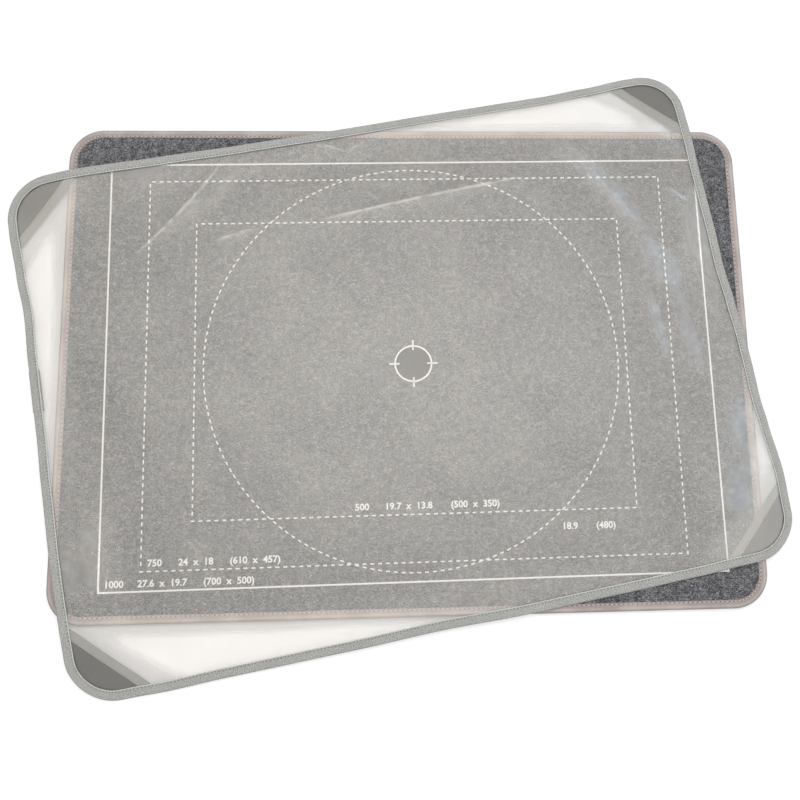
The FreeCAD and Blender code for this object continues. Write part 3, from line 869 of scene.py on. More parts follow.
@dataclass(frozen=True)
class PressedBoard:
    """Hardboard pressed from wood fibre: plain brown, only seen if the tape is taken off."""

    fibre: str = "8a6f50"
    dark: str = "6d573f"
    clump: float = 2.5

    def make(self) -> Material:
        """Builds the hardboard: a matted brown surface of short fibres.

        Returns:
            The material.
        """
        material, tree, shader, place = start_material("pressed_hardboard")
        mat = add(tree, "TexNoise",
                  {"Vector": place, "Scale": per(self.clump), "Detail": 5.0, "Distortion": 1.0})
        colour = add(tree, "Mix", {0: mat, 6: self.dark, 7: self.fibre}, 2, data_type="RGBA")
        feed(shader, {"Base Color": colour, "Roughness": 0.8})
        return material


@dataclass(frozen=True)
class FoldedTape:
    """A tape folded over an edge and sewn through, measured to its middle layer.

    Depth is counted inward from the fold's outside, height up from the edge's own base.
    """

    cover: float
    thickness: float
    low: float
    high: float
    bend: float
    seam: float
    stitch: float
    pull: float
    crown: float
    flare: float
    waver: float
    beat: tuple[float, float] = (0.62, 0.38)  # the dimples' even share, and the stitches' own
    dimple: float = 0.9  # how far to each side of the seam a stitch pulls the tape in
    held: float = 0.4  # how far past the seam the free edge lies flat
    crown_from: float = 0.6
    crown_reach: float = 1.5
    wander: tuple[tuple[float, float, float], ...] = (  # strength, reach and shift of each wave
        (1.0, 37.0, 0.0), (0.6, 13.7, 1.3), (0.4, 5.9, 0.4),
    )

    @property
    def reach(self) -> float:
        """How long each leg is, from the bend to its free edge."""
        return self.cover - self.thickness / 2 - self.bend

    @property
    def girth(self) -> float:
        """The tape's width when it is unfolded."""
        return 2 * self.reach + math.pi * self.bend + (self.high - self.low - 2 * self.bend)

    def section(self, share: Array) -> tuple[Array, Array]:
        """Follows the folded tape from its upper free edge round to its lower one.

        Args:
            share: from 0 to 1 across the unfolded tape.

        Returns:
            Depth and height of each point.
        """
        way = share * self.girth
        arc = QUARTER_TURN * self.bend
        wall = self.high - self.low - 2 * self.bend
        first = np.clip((way - self.reach) / self.bend, 0, QUARTER_TURN)
        down = np.clip(way - self.reach - arc, 0, wall)
        second = np.clip((way - self.reach - arc - wall) / self.bend, 0, QUARTER_TURN)
        back = np.clip(way - self.reach - 2 * arc - wall, 0, self.reach)
        upper = np.maximum(self.reach - way, 0) + self.bend * (1 - np.sin(first))
        lower = self.bend * (1 - np.cos(second)) + back
        depth = self.thickness / 2 + np.where(way > self.reach + arc, lower, upper)
        height = self.high - self.bend * (1 - np.cos(first)) - down - self.bend * np.sin(second)
        return depth, height

    def sewn(self, way: Array, depth: Array, height: Array, side: Array) -> tuple[Array, Array]:
        """Puts in what the sewing does: the seam's dimples, a soft crown and a lifted free edge.

        Args:
            way: how far along the edge each point is.
            depth: depth of each point in the plain section.
            height: height of each point in the plain section.
            side: 1 on the upper leg, -1 on the lower.

        Returns:
            Depth and height, changed.
        """
        beat = self.beat[0] + self.beat[1] * np.cos(2 * math.pi * way / self.stitch)
        dimple = self.pull * beat * np.exp(-(((depth - self.seam) / self.dimple) ** 2))
        flat = smooth((depth - self.crown_from) / self.crown_reach)
        crown = self.crown * flat * np.sin(math.pi * np.clip(depth / self.seam, 0, 1))
        free = self.seam + self.held
        flare = self.flare * smooth((depth - free) / (self.cover - free))
        wander = sum(much * np.sin(way / reach + shift) for much, reach, shift in self.wander)
        strayed = depth * (1 + self.waver * wander * smooth(depth / self.cover))
        return strayed, height + side * (crown + flare - dimple)


@dataclass(frozen=True)
class TapeRun:
    """Where a tape runs: flat path, its length, and how its points lie in the end."""

    length: float
    closed: bool
    path: Callable[[Array], tuple[Array, Array]]
    lay: Callable[[Array, Array, Array], Array]
    cord_cell: float = 2.0
    aim_step: float = 0.3
    bead: tuple[float, float, float] = (0.62, 1.0, 0.6)  # length per stitch, width and thickness
    bead_sunk: float = 0.25  # as a share of the dimple
    # the dark ovals of painted shade at the needle holes: their size, and how far each stands out of its
    # dimple
    hole: tuple[float, float, float] = (2.0, 1.5, 0.3)
    hole_shows: float = 0.05

    def fitted(self, stitch: float) -> tuple[int, float]:
        """The number of whole stitches along the run, and the spacing that makes them fit."""
        count = max(1, round(self.length / stitch))
        return count, self.length / count

    def place(self, way: Array, depth: Array | float, height: Array) -> Array:
        """Lays points down where the run goes.

        Args:
            way: how far along the run they are.
            depth: how far in from the edge.
            height: how far over the edge's base.

        Returns:
            Rows of x, y and z.
        """
        points, inward = self.path(way)
        flat = points + inward * np.reshape(depth, (-1, 1))
        return self.lay(flat[:, 0], flat[:, 1], height)

    def tape(self, name: str, tape: FoldedTape, cells: int) -> Piece:
        """Folds a tape along the run.

        Args:
            name: the piece's name.
            tape: the tape.
            cells: cells across it.

        Returns:
            The piece.
        """
        count, stitch = self.fitted(tape.stitch)
        piece, shares = weave_grid(name, (3 * count, cells), (self.length, tape.girth))
        way = shares[:, 0] * self.length
        depth, height = tape.section(shares[:, 1])
        side = np.where(shares[:, 1] < 0.5, 1.0, -1.0)
        depth, height = tape.sewn(way * tape.stitch / stitch, depth, height, side)
        set_points(piece, self.place(way, depth, height))
        if self.closed:
            weld(piece)
        thicken(piece, tape.thickness)
        return piece

    def cord(self, name: str, depth: float, height: float, diameter: float) -> Piece:
        """Runs one thin round cord along the edge, such as a tape's selvedge.

        Args:
            name: the piece's name.
            depth: how far in from the edge it lies.
            height: its middle's height over the edge's base.
            diameter: its thickness.

        Returns:
            The piece.
        """
        cells = (round(self.length / self.cord_cell), 6)
        piece, shares = weave_grid(name, cells, (self.length, diameter))
        turn = shares[:, 1] * 2 * math.pi
        depths = depth + 0.5 * diameter * np.cos(turn)
        heights = height + 0.5 * diameter * np.sin(turn)
        set_points(piece, self.place(shares[:, 0] * self.length, depths, heights))
        weld(piece)
        with editing(piece):
            bpy.ops.mesh.normals_make_consistent(inside=False)
        bpy.ops.object.shade_smooth()
        return piece

    def seam(self, name: str, tape: FoldedTape, legs: tuple[Leg, ...], holes: bool = False) -> Piece:
        """Sews along a tape's seam, one bead of thread for each stitch.

        Args:
            name: the piece's name.
            tape: the tape that is sewn.
            legs: the faces that the seam shows on.
            holes: whether to make dark beads of painted shade at the needle holes between the stitches,
                and not the thread.

        Returns:
            The piece.
        """
        count, stitch = self.fitted(tape.stitch)
        way = (np.arange(count) + (0.0 if holes else 0.5)) * stitch
        sunk = tape.pull - self.hole_shows if holes else self.bead_sunk * tape.pull
        places, along, up = [], [], []
        for leg in legs:
            top = tape.high if leg is Leg.UPPER else tape.low
            height = np.full(count, top + leg.value * (tape.thickness / 2 - sunk))
            before, here, after = (
                self.place(way + shift, tape.seam, height)
                for shift in (-self.aim_step, 0.0, self.aim_step)
            )
            places.append(here)
            along.append(after - before)
            up.append(upright(count, leg.value))
        bead = thread_bead(*self.hole if holes else (self.bead[0] * stitch, *self.bead[1:]))
        return copy_along(name, bead, *(np.concatenate(parts) for parts in (places, along, up)))


@dataclass(frozen=True)
class Swell:
    """A place on the cover where it stands off what is under it."""

    middle: tuple[float, float]
    reach: tuple[float, float]
    height: float
    turn: float = 0.0

    def rise(self, along: Array, across: Array) -> Array:
        """How far the cover stands off.

        Args:
            along: places along the cover.
            across: places across the cover.

        Returns:
            The heights.
        """
        east, north = along - self.middle[0], across - self.middle[1]
        east, north = turned(east, north, -math.radians(self.turn))
        return self.height * np.exp(-((east / self.reach[0]) ** 2) - (north / self.reach[1]) ** 2)


@dataclass(frozen=True)
class Lie:
    """How the cover lies on the board: turned, resting on it, and drooping past its edges."""

    board: Outline
    cover: Outline
    board_top: float
    felt_top: float
    tape_width: float = 9.0
    tape_ramp: float = 12.0  # over how far the cover comes down from the board's tape
    board_fall: float = 0.35  # how steep the ground under it is beside the board
    gap: float = 0.3
    centre: tuple[float, float] = (-16.4, -4.6)
    turn: float = 10.2
    bend: float = 80.0
    lean_left: float = 6.55
    lean_right: float = 11.0
    lean_back: float = 6.25
    lean_front: float = 5.45
    floor_gap: float = 0.15
    buckles: tuple[Swell, ...] = (
        Swell((411, 92), (60, 62), 2.6),
        Swell((411, -205), (60, 45), 1.6),
        Swell((-411, -160), (60, 50), 1.5),
        Swell((-250, 305), (60, 50), 1.2),
    )
    sway_back: Sway = Sway((
        (-411, 0.5), (-320, 1.8), (-230, -0.7), (-120, -2.2), (0, -3.0), (100, -1.8), (240, -1.0),
        (290, 1.4), (350, 5.4), (411, 5.6),
    ))
    sway_front: Sway = Sway((
        (-411, -1.5), (-350, 0.4), (-310, 1.5), (-250, 0.5), (-100, 0.4), (-10, -0.9), (90, 1.4),
        (200, 0.7), (290, -0.3), (340, -2.0), (411, -4.0),
    ))
    sway_left: Sway = Sway((
        (-305, -1.5), (-250, 0.9), (-150, 1.5), (-60, 0.3), (0, -1.4), (80, -2.1), (140, -4.0),
        (190, -0.9), (240, 1.3), (305, 1.0),
    ))
    sway_right: Sway = Sway((
        (-305, -1.5), (-260, 1.6), (-210, 3.7), (-150, 0.5), (-120, -1.1), (-70, 0.1), (-40, 0.5),
        (0, -1.0), (50, -3.4), (100, -2.3), (170, -1.3), (210, -0.1), (305, 1.6),
    ))

    def to_board(self, along: Array, across: Array) -> tuple[Array, Array]:
        """Turns places on the cover into places on the board, with its sides bowed as if sewn.

        Args:
            along: places along the cover.
            across: places across the cover.

        Returns:
            x and y of each place.
        """
        rise = np.where(across > 0, self.sway_back.at(along), -self.sway_front.at(along))
        shift = np.where(along > 0, self.sway_right.at(across), -self.sway_left.at(across))
        bowed_along = along + shift * (along / self.cover.half_length) ** 2
        bowed_across = across + rise * (across / self.cover.half_width) ** 2
        x, y = turned(bowed_along, bowed_across, math.radians(self.turn))
        return self.centre[0] + x, self.centre[1] + y

    def drop(self, beyond: Array, lean: float) -> Array:
        """How far the cover has sunk at a distance past a board edge.

        Args:
            beyond: the distances.
            lean: how steeply it hangs in the end, in degrees.

        Returns:
            How far it has sunk.
        """
        slope = math.radians(lean)
        bend_end = self.bend * math.sin(slope)
        past = np.maximum(beyond, 0.0)
        bent = self.bend - np.sqrt(self.bend**2 - np.minimum(past, bend_end) ** 2)
        return bent + math.tan(slope) * np.maximum(past - bend_end, 0.0)

    def edge(self, along: Array, across: Array) -> tuple[Array, Array, Array]:
        """Where the underside of the cover's edge lies, or would lie further in.

        Args:
            along: places along the cover.
            across: places across the cover.

        Returns:
            x, y and z of each place.
        """
        x, y = self.to_board(along, across)
        half_x, half_y = self.board.half_length, self.board.half_width
        sunk = np.maximum.reduce([
            self.drop(-x - half_x, self.lean_left),
            self.drop(x - half_x, self.lean_right),
            self.drop(y - half_y, self.lean_back),
            self.drop(-y - half_y, self.lean_front),
        ])
        base = higher(self.board_top + self.gap - sunk, np.full_like(x, self.floor_gap))
        return x, y, base + sum(swell.rise(along, across) for swell in self.buckles)

    def ground(self, x: Array, y: Array) -> Array:
        """Height of what lies under the cover: felt, the board's edge tape, or the table.

        Args:
            x: places along the board.
            y: places across the board.

        Returns:
            The heights.
        """
        beyond = self.board.outside(x, y)
        step = smooth((beyond + self.tape_width + self.tape_ramp) / self.tape_ramp)
        inside = self.felt_top + (self.board_top - self.felt_top) * step
        outside = np.maximum(self.board_top - self.board_fall * beyond, 0.0)
        return np.where(beyond > 0, outside, inside)

    def lay(self, along: Array, across: Array, height: Array) -> Array:
        """Lays points of the cover's edge down, each at a height above its underside."""
        x, y, base = self.edge(along, across)
        return rows(x, y, base + height)


@dataclass
class Board:
    """The stiff board: panel, felt, lining, edge tape, its sewing and the printed outlines."""

    tape_cover: float = 9.6
    tape_thickness: float = 0.8
    corner: float = 40.0
    fold: float = 1.6
    stitch: float = 5.25
    seam: float = 7.8
    ink: float = 0.06  # half of the print's thickness
    line_width: float = 1.9
    dash: tuple[float, float] = (4.6, 1.6)
    dash_corner: float = 0.35
    dash_pitch: float = 8.7
    solid_print: tuple[float, float] = (700.0, 500.0)
    dashed_prints: tuple[tuple[str, Outline], ...] = (
        ("printed_outline_large", Outline(609.6 / 2, 457.2 / 2, 0.5)),
        ("printed_outline_small", Outline(500.0 / 2, 350.0 / 2, 0.5)),
        ("printed_circle", Outline(480.0 / 2, 480.0 / 2, 480.0 / 2)),
    )
    print_turn: float = 0.6
    print_middle: tuple[float, float] = (2.75, -1.64)
    number_height: float = 10.6
    number_weight: float = 0.026
    numbers: tuple[tuple[str, float, float], ...] = (
        ("1000     27.6  x  19.7      (700  x  500)", -344.0, -245.0),
        ("750      24  x  18      (610  x  457)", -298.0, -223.0),
        ("500      19.7  x  13.8       (500  x  350)", -70.0, -168.5),
        ("18.9       (480)", 163.0, -197.0),
    )
    ring_radius: float = 22.0
    ring_sides: int = 64
    tick: float = 12.0
    top: float = field(init=False)
    felt_top: float = field(init=False)
    outline: Outline = field(init=False)

    def __post_init__(self) -> None:
        """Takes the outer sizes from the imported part."""
        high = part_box("board_binding")[1]
        self.outline = Outline(high.x / MM, high.y / MM, self.corner)
        self.top = high.z / MM
        self.felt_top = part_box("felt_surface")[1].z / MM

    def make_edge(self) -> list[Piece]:
        """Folds and sews the edge tape.

        Returns:
            The tape and its sewing.
        """
        run = TapeRun(self.outline.length, True, self.outline.walk, rows)
        tape = FoldedTape(
            cover=self.tape_cover, thickness=self.tape_thickness, low=self.tape_thickness / 2,
            high=self.top - self.tape_thickness / 2, bend=self.fold, seam=self.seam,
            stitch=self.stitch, pull=0.3, crown=0.05, flare=0.03, waver=0.012,
        )
        edge = run.tape("board_edge_tape", tape, cells=20)
        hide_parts("board_binding")
        seam = run.seam("board_edge_sewing", tape, (Leg.UPPER, Leg.LOWER))
        # needle holes as dark beads: painted shade in the holes between the stitches
        holes = run.seam("board_edge_needle_hole_shade", tape, (Leg.UPPER,), holes=True)
        finishes = {
            edge: ImitationLeather(),
            seam: SewingThread("pale_taupe_thread", "d2c8c2"),
            holes: SewingThread("needle_hole_painted_shade", "4a4341"),
        }
        for piece, finish in finishes.items():
            dress(piece, finish.make())
        return list(finishes)

    def hollow(self, sheet: Piece) -> Piece:
        """Makes a line's outline of a flat sheet: insets it, takes its middle out, gives it height.

        Args:
            sheet: the sheet.

        Returns:
            The printed line.
        """
        with editing(sheet):
            bpy.ops.mesh.inset(thickness=self.line_width * MM, depth=0)
            bpy.ops.mesh.delete(type="FACE")
            bpy.ops.mesh.select_all(action="SELECT")
            rise = {"value": (0, 0, 2 * self.ink * MM)}
            bpy.ops.mesh.extrude_region_move(TRANSFORM_OT_translate=rise)
            bpy.ops.mesh.select_all(action="SELECT")
            bpy.ops.mesh.normals_make_consistent(inside=False)
        return sheet

    def solid_line(self) -> Piece:
        """Prints the solid outline.

        Returns:
            The printed line.
        """
        sheet = start_piece("printed_outline_solid", bpy.ops.mesh.primitive_plane_add, size=1.0)
        length, width = (side + self.line_width for side in self.solid_print)
        set_points(sheet, points_of(sheet) * [length, width, 0.0] + [0.0, 0.0, self.felt_top - self.ink])
        return self.hollow(sheet)

    def printed_dash(self, length: float, width: float) -> Piece:
        """Models one printed dash with its corners cut.

        Args:
            length: its length.
            width: its width.

        Returns:
            The dash.
        """
        dash = start_piece("dash", bpy.ops.mesh.primitive_cube_add, size=1.0)
        size = (length * MM, width * MM, 2 * self.ink * MM)
        with editing(dash):
            bpy.ops.transform.resize(value=size, center_override=(0, 0, 0))
            bpy.ops.mesh.select_all(action="DESELECT")
        for edge in dash.data.edges:
            low, high = (dash.data.vertices[at].co for at in edge.vertices)
            edge.select = abs(low.z - high.z) > self.ink * MM
        with editing(dash, whole=False):
            bpy.ops.mesh.bevel(offset=self.dash_corner * MM, segments=1, affect="EDGES")
        return dash

    def dashed_line(self, name: str, outline: Outline) -> Piece:
        """Prints a dashed outline.

        Args:
            name: the piece's name.
            outline: the line's middle.

        Returns:
            The dashes, as one piece.
        """
        count = round(outline.length / self.dash_pitch)
        points, inward = outline.walk(np.arange(count) * outline.length / count)
        places = np.column_stack([points, np.full(count, self.felt_top)])
        along = rows(inward[:, 1], -inward[:, 0], np.zeros(count))
        return copy_along(name, self.printed_dash(*self.dash), places, along, upright(count))

    def middle_spot(self) -> Piece:
        """Prints a round spot at the middle of the outlines.

        Returns:
            The printed spot.
        """
        spot = start_piece("printed_middle_spot", bpy.ops.mesh.primitive_cylinder_add,
                           vertices=self.ring_sides, radius=self.ring_radius * MM,
                           depth=2 * self.ink * MM)
        set_points(spot, points_of(spot) / MM + [0.0, 0.0, self.felt_top])
        return spot

    def middle_mark(self) -> Piece:
        """Prints a plain ring with four ticks at the middle of the outlines.

        Returns:
            The printed mark.
        """
        sheet = start_piece("printed_middle_mark", bpy.ops.mesh.primitive_circle_add,
                            vertices=self.ring_sides, radius=self.ring_radius * MM, fill_type="NGON")
        set_points(sheet, points_of(sheet) / MM + [0.0, 0.0, self.felt_top])
        ring = self.hollow(sheet)
        angle = np.arange(4) * QUARTER_TURN
        way = rows(np.cos(angle), np.sin(angle), np.zeros(4))
        places = way * self.ring_radius + [0.0, 0.0, self.felt_top + self.ink]
        tick = self.printed_dash(self.tick, self.line_width)
        return join([ring, copy_along("middle_ticks", tick, places, way, upright(4))])

    def number(self, words: str, x: float, y: float) -> Piece:
        """Prints one row of plain numbers.

        Args:
            words: the numbers.
            x: left end.
            y: foot of the numbers.

        Returns:
            The printed row.
        """
        row = start_piece("printed_numbers", bpy.ops.object.text_add,
                          location=(x * MM, y * MM, self.felt_top * MM))
        row.data.body = words
        row.data.size = self.number_height * MM
        row.data.offset = self.number_weight * self.number_height * MM
        row.data.extrude = self.ink * MM
        row.data.resolution_u = 3
        bpy.ops.object.convert(target="MESH")
        bpy.ops.object.transform_apply(location=True, rotation=True, scale=True)
        return bpy.context.object

    def turn_print(self, piece: Piece) -> None:
        """Turns a printed piece a little on the board, as the print lies on the real one.

        Args:
            piece: the piece.
        """
        points = points_of(piece) / MM
        x, y = turned(points[:, 0], points[:, 1], math.radians(self.print_turn))
        points[:, :2] = rows(x, y) + self.print_middle
        set_points(piece, points)

    def make_print(self) -> list[Piece]:
        """Prints the outlines, the numbers and a plain mark at the middle.

        Returns:
            The printed pieces.
        """
        ink = ScreenInk().make()
        pieces = [self.solid_line()]
        pieces += [self.dashed_line(name, outline) for name, outline in self.dashed_prints]
        pieces += [self.middle_mark(), join([self.number(*row) for row in self.numbers])]
        for piece in pieces:
            dress(piece, ink)
        pieces.append(self.middle_spot())
        dress(pieces[-1], ScreenInk("dark_screen_ink", "3a3836", "59575a").make())
        for piece in pieces:
            piece.data.name = piece.name
            self.turn_print(piece)
        return pieces

    def build(self) -> list[Piece]:
        """Builds the board's pieces and dresses the solids that stay.

        Returns:
            The new pieces.
        """
        finishes = {
            "felt_surface": HeatherFelt(),
            "core_panel": PressedBoard(),
            "backing_sheet": LiningCloth("underside_lining", "4a4a4b", "303031"),
        }
        for node, finish in finishes.items():
            dress(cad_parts[node], finish.make())
        pieces = self.make_edge() + self.make_print()
        for piece in pieces:
            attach(piece, "board")
        return pieces


@dataclass
class Cover:
    """The loose cover: film, edge tape with its lapped end, pockets, hems and their sewing."""

    board: Board
    half_length: float = 411.5
    half_width: float = 305.0
    corner: float = 50.0
    film: float = 0.4
    film_rise: float = 1.65
    film_cell: float = 3.7
    film_lines: tuple[float, ...] = (-7.5, -5.0, -2.5, -0.6, 0.4, 1.1, 1.8, 4.5)  # about the tape's edge
    film_rest: float = 0.35  # how far its middle rests over what is under it
    film_least: float = 0.3
    tape_cover: float = 10.2
    tape_thickness: float = 0.5
    tape_rise: float = 2.1
    tape_grip: float = 0.5
    stitch: float = 4.0
    seam: float = 8.7
    # the cord at the tape's inner edge, paler than the tape: a painted highlight where the selvedge
    # catches the light
    selvedge: float = 1.1
    selvedge_out: float = 0.1
    tucked: float = 2.2
    # a strip beside the tape's inner edge where the film is fully clear, so the dark felt shows as a
    # line: painted shade for the shadow under the tape's edge
    shade_line: float = 1.1
    shade_line_clear: float = 0.3
    front_shade_clear: float = 0.012  # the front is taken as pressed flat, so more goes straight through it; the darker front this gives is painted shade for the weaker light there
    front_from: float = 190.0
    front_reach: float = 60.0
    pocket_leg: float = 95.0
    pocket: float = 0.4
    pocket_rise: float = 0.95
    pocket_rest: float = 0.62
    pocket_slack: float = 1.5
    pocket_slack_from: float = 6.0
    pocket_slack_reach: float = 22.0
    pocket_inset: float = 0.6  # how much further in than the film its cut edge lies
    pocket_short: float = 1.4
    pocket_cells: tuple[int, int] = (36, 20)
    pocket_shows: float = 4.0  # how far past the hem the film is still held up by it
    pocket_fades: float = 45.0
    hem_cover: float = 9.5
    hem_thickness: float = 0.25
    hem_clear: float = 0.02
    hem_seam: float = 1.8  # how far in from its edge it is sewn
    hem_stitch: float = 4.0
    hem_tuck: float = 3.0
    lap_length: float = 48.0
    lap_place: float = 48.0
    lap_over: float = 0.55
    lap_wider: float = 1.6
    settle: float = 42.0
    slack: float = 1.9
    creases: tuple[Crease, ...] = (
        Crease((-60, 193), (70, 200), (200, 204), 0.9, 7.0, 3.0, 0.52),
        Crease((-282, 184), (-222, 226), (-152, 292), 0.6, 6.0, 3.5, 0.3),
        Crease((-236, 206), (-186, 238), (-118, 288), 0.5, 18.0, 16.0, 0.07),
        Crease((240, 250), (302, 160), (356, -30), 0.4, 20.0, 22.0, 0.1),
        Crease((276, 196), (300, 162), (320, 116), 0.3, 6.0, 4.0, 0.14),
        Crease((311, 40), (315, -10), (313, -66), 0.3, 9.0, 9.0, 0.12),
        Crease((348, 10), (350, -40), (366, -100), 0.4, 20.0, 20.0, 0.085),
        Crease((-44, 292), (-24, 283), (-6, 273), 0.5, 4.0, 2.6, 0.2),
        Crease((-10, 274), (3, 280), (18, 285), 0.5, 4.0, 2.6, 0.16),
        Crease((-186, 188), (-160, 193), (-130, 196), 0.4, 5.0, 4.0, 0.2),
        Crease((388, -94), (374, -170), (336, -256), 0.4, 26.0, 30.0, 0.09),
        Crease((-362, -90), (-366, -150), (-360, -206), 0.7, 18.0, 18.0, 0.05),
        Crease((362, 254), (388, 214), (402, 188), 0.4, 9.0, 8.0, 0.11),
        Crease((366, 162), (380, 143), (394, 130), 0.4, 6.0, 3.5, 0.2),
        Crease((-101, 260), (-116, 150), (-124, 30), 0.4, 24.0, 32.0, 0.024),
        Crease((78, 186), (88, 110), (106, 26), 0.3, 22.0, 26.0, 0.018),
        Crease((20, 94), (-48, 22), (-110, -48), 0.3, 22.0, 26.0, 0.016),
    )
    swells: tuple[Swell, ...] = (
        Swell((0, 25), (290, 190), 0.4, -10.0),
        Swell((338, -235), (26, 50), 1.4, 8.0),
        Swell((-362, -150), (20, 60), 1.4, 4.0),
        Swell((-285, 272), (60, 22), 1.0, 14.0),
        Swell((345, 250), (40, 26), 1.0, 0.0),
    )
    wave_seed: int = 7
    wave_count: int = 9
    wave_lengths: tuple[float, float] = (70.0, 190.0)
    wave_height: float = 0.11
    wave_lift: float = 4.0
    pocket_gap: float = 1.2  # how far the film stands off the pockets, for its looks
    pocket_clearer: tuple[tuple[Corner, float], ...] = (
        (Corner.BACK_LEFT, -0.055),
        (Corner.BACK_RIGHT, 0.022),
        (Corner.FRONT_LEFT, 0.025),
        (Corner.FRONT_RIGHT, -0.105),
    )
    pocket_tucked: float = field(init=False)
    pocket_cut: float = field(init=False)
    lie: Lie = field(init=False)
    outline: Outline = field(init=False)

    def __post_init__(self) -> None:
        """Works out the outline, the pockets' cut and how the cover lies on the board."""
        self.pocket_tucked = self.tucked + self.pocket_inset
        self.pocket_cut = self.pocket_leg - self.tucked - self.pocket_short
        self.outline = Outline(self.half_length, self.half_width, self.corner)
        self.lie = Lie(self.board.outline, self.outline, self.board.top, self.board.felt_top)

    def pocket_nearness(self, along: Array, across: Array) -> Array:
        """How much each place is over a pocket: 1 over it, 0 well away from it."""
        near = (self.half_length - np.abs(along)) + (self.half_width - np.abs(across))
        return 1 - smooth((near - self.pocket_leg - self.pocket_shows) / self.pocket_fades)

    def relief(self, along: Array, across: Array) -> Array:
        """How far the film stands up over its rest, in folds, swells and slow waves.

        Args:
            along: places along the cover.
            across: places across the cover.

        Returns:
            The heights.
        """
        rise = sum(form.rise(along, across) for form in (*self.creases, *self.swells))
        chance = np.random.default_rng(self.wave_seed)
        waves = np.zeros_like(along)
        for _ in range(self.wave_count):
            angle, phase = chance.uniform(0, math.pi), chance.uniform(0, 2 * math.pi)
            way = turned(along, across, -angle)[0]
            waves += np.sin(2 * math.pi * way / chance.uniform(*self.wave_lengths) + phase)
        return rise + self.wave_height * (waves + self.wave_lift)

    def film_height(self, along: Array, across: Array) -> tuple[Array, Array, Array]:
        """Where the film's middle lies.

        Args:
            along: places along the cover.
            across: places across the cover.

        Returns:
            x, y and z of each place on the board.
        """
        x, y, base = self.lie.edge(along, across)
        ground = self.lie.ground(x, y)
        inward = -self.outline.outside(along, across)
        free = smooth((inward - self.tape_cover + self.tape_grip) / self.settle)
        free = free * (1 - self.pocket_nearness(along, across))
        rim = base + self.film_rise
        rest = higher(ground + self.film_rest, rim - self.slack) + self.relief(along, across)
        return x, y, higher(rim + (rest - rim) * free, ground + self.film_least)

    def edge_shares(self, shares: Array, cells: tuple[int, int], size: tuple[float, float]) -> Array:
        """Draws the film's outer grid lines together beside the tape.

        Args:
            shares: an even grid's places from 0 to 1.
            cells: cells along and across.
            size: the film's length and width.

        Returns:
            The places, with the fourth to seventh lines from each edge close to the tape's edge.
        """
        lines = self.tape_cover - self.tucked + np.array(self.film_lines)
        depths = np.concatenate([[0.0], lines])
        last = len(depths) - 1
        drawn = shares.copy()
        for axis in (0, 1):
            line = np.rint(np.minimum(shares[:, axis], 1 - shares[:, axis]) * cells[axis]).astype(int)
            rest = size[axis] / 2 - depths[last]
            inner = depths[last] + (line - last) * rest / (cells[axis] / 2 - last)
            depth = np.where(line <= last, depths[np.minimum(line, last)], inner) / size[axis]
            drawn[:, axis] = np.where(shares[:, axis] < 0.5, depth, 1 - depth)
        return drawn

    def make_film(self) -> Piece:
        """Lays the film out: a rounded sheet that settles on the felt between its folds.

        Returns:
            The film.
        """
        sheet = self.outline.inset(self.tucked)
        size = (2 * sheet.half_length, 2 * sheet.half_width)
        cells = tuple(round(side / self.film_cell) for side in size)
        film, shares = weave_grid("cover_film_sheet", cells, size)
        along, across = sheet.fill(self.edge_shares(shares, cells, size)).T
        x, y, z = self.film_height(along, across)
        set_points(film, rows(x, y, z))
        gap, near = z - self.lie.ground(x, y), self.pocket_nearness(along, across)
        gap = gap + (self.pocket_gap - gap) * near
        # painted shade: a clear strip beside the tape's inner edge shows the dark felt as the shadow line
        # under the tape
        beside = -self.outline.outside(along, across) - self.tape_cover - self.shade_line / 2
        clearer = self.shade_line_clear * (1 - smooth(np.abs(beside) / self.shade_line))
        # painted shade: the clearer film along the front looks darker
        clearer = clearer + self.front_shade_clear * smooth((-y - self.front_from) / self.front_reach)
        for corner, more in self.pocket_clearer:
            here = (along * corner.signs[0] > 0) & (across * corner.signs[1] > 0)
            clearer = np.where(here, clearer + more * near, clearer)
        for name, values in ((GAP, gap), (CLEARER, clearer)):
            made = film.data.attributes.new(name, "FLOAT", "POINT")
            made.data.foreach_set("value", values.astype(np.float32))
        thicken(film, self.film)
        dress(film, FrostedFilm().make(self.creases, self.lie))
        film.visible_shadow = False
        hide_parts("cover_film")
        return film

    def make_edge(self) -> list[Piece]:
        """Folds and sews the edge tape and its lapped end.

        Returns:
            The tape, its sewing, the dark beads of painted shade at its needle holes, the lap, the lap's
            sewing and the selvedge cord, paler as a painted highlight.
        """
        run = TapeRun(self.outline.length, True, self.outline.walk, self.lie.lay)
        tape = FoldedTape(
            cover=self.tape_cover, thickness=self.tape_thickness, low=self.tape_thickness / 2,
            high=self.tape_rise, bend=(self.tape_rise - self.tape_thickness / 2) / 2,
            seam=self.seam, stitch=self.stitch, pull=0.22, crown=0.16, flare=0.2, waver=0.012,
        )
        edge = run.tape("cover_edge_tape", tape, cells=22)
        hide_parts("cover_binding")
        seam = run.seam("cover_edge_sewing", tape, (Leg.UPPER, Leg.LOWER))
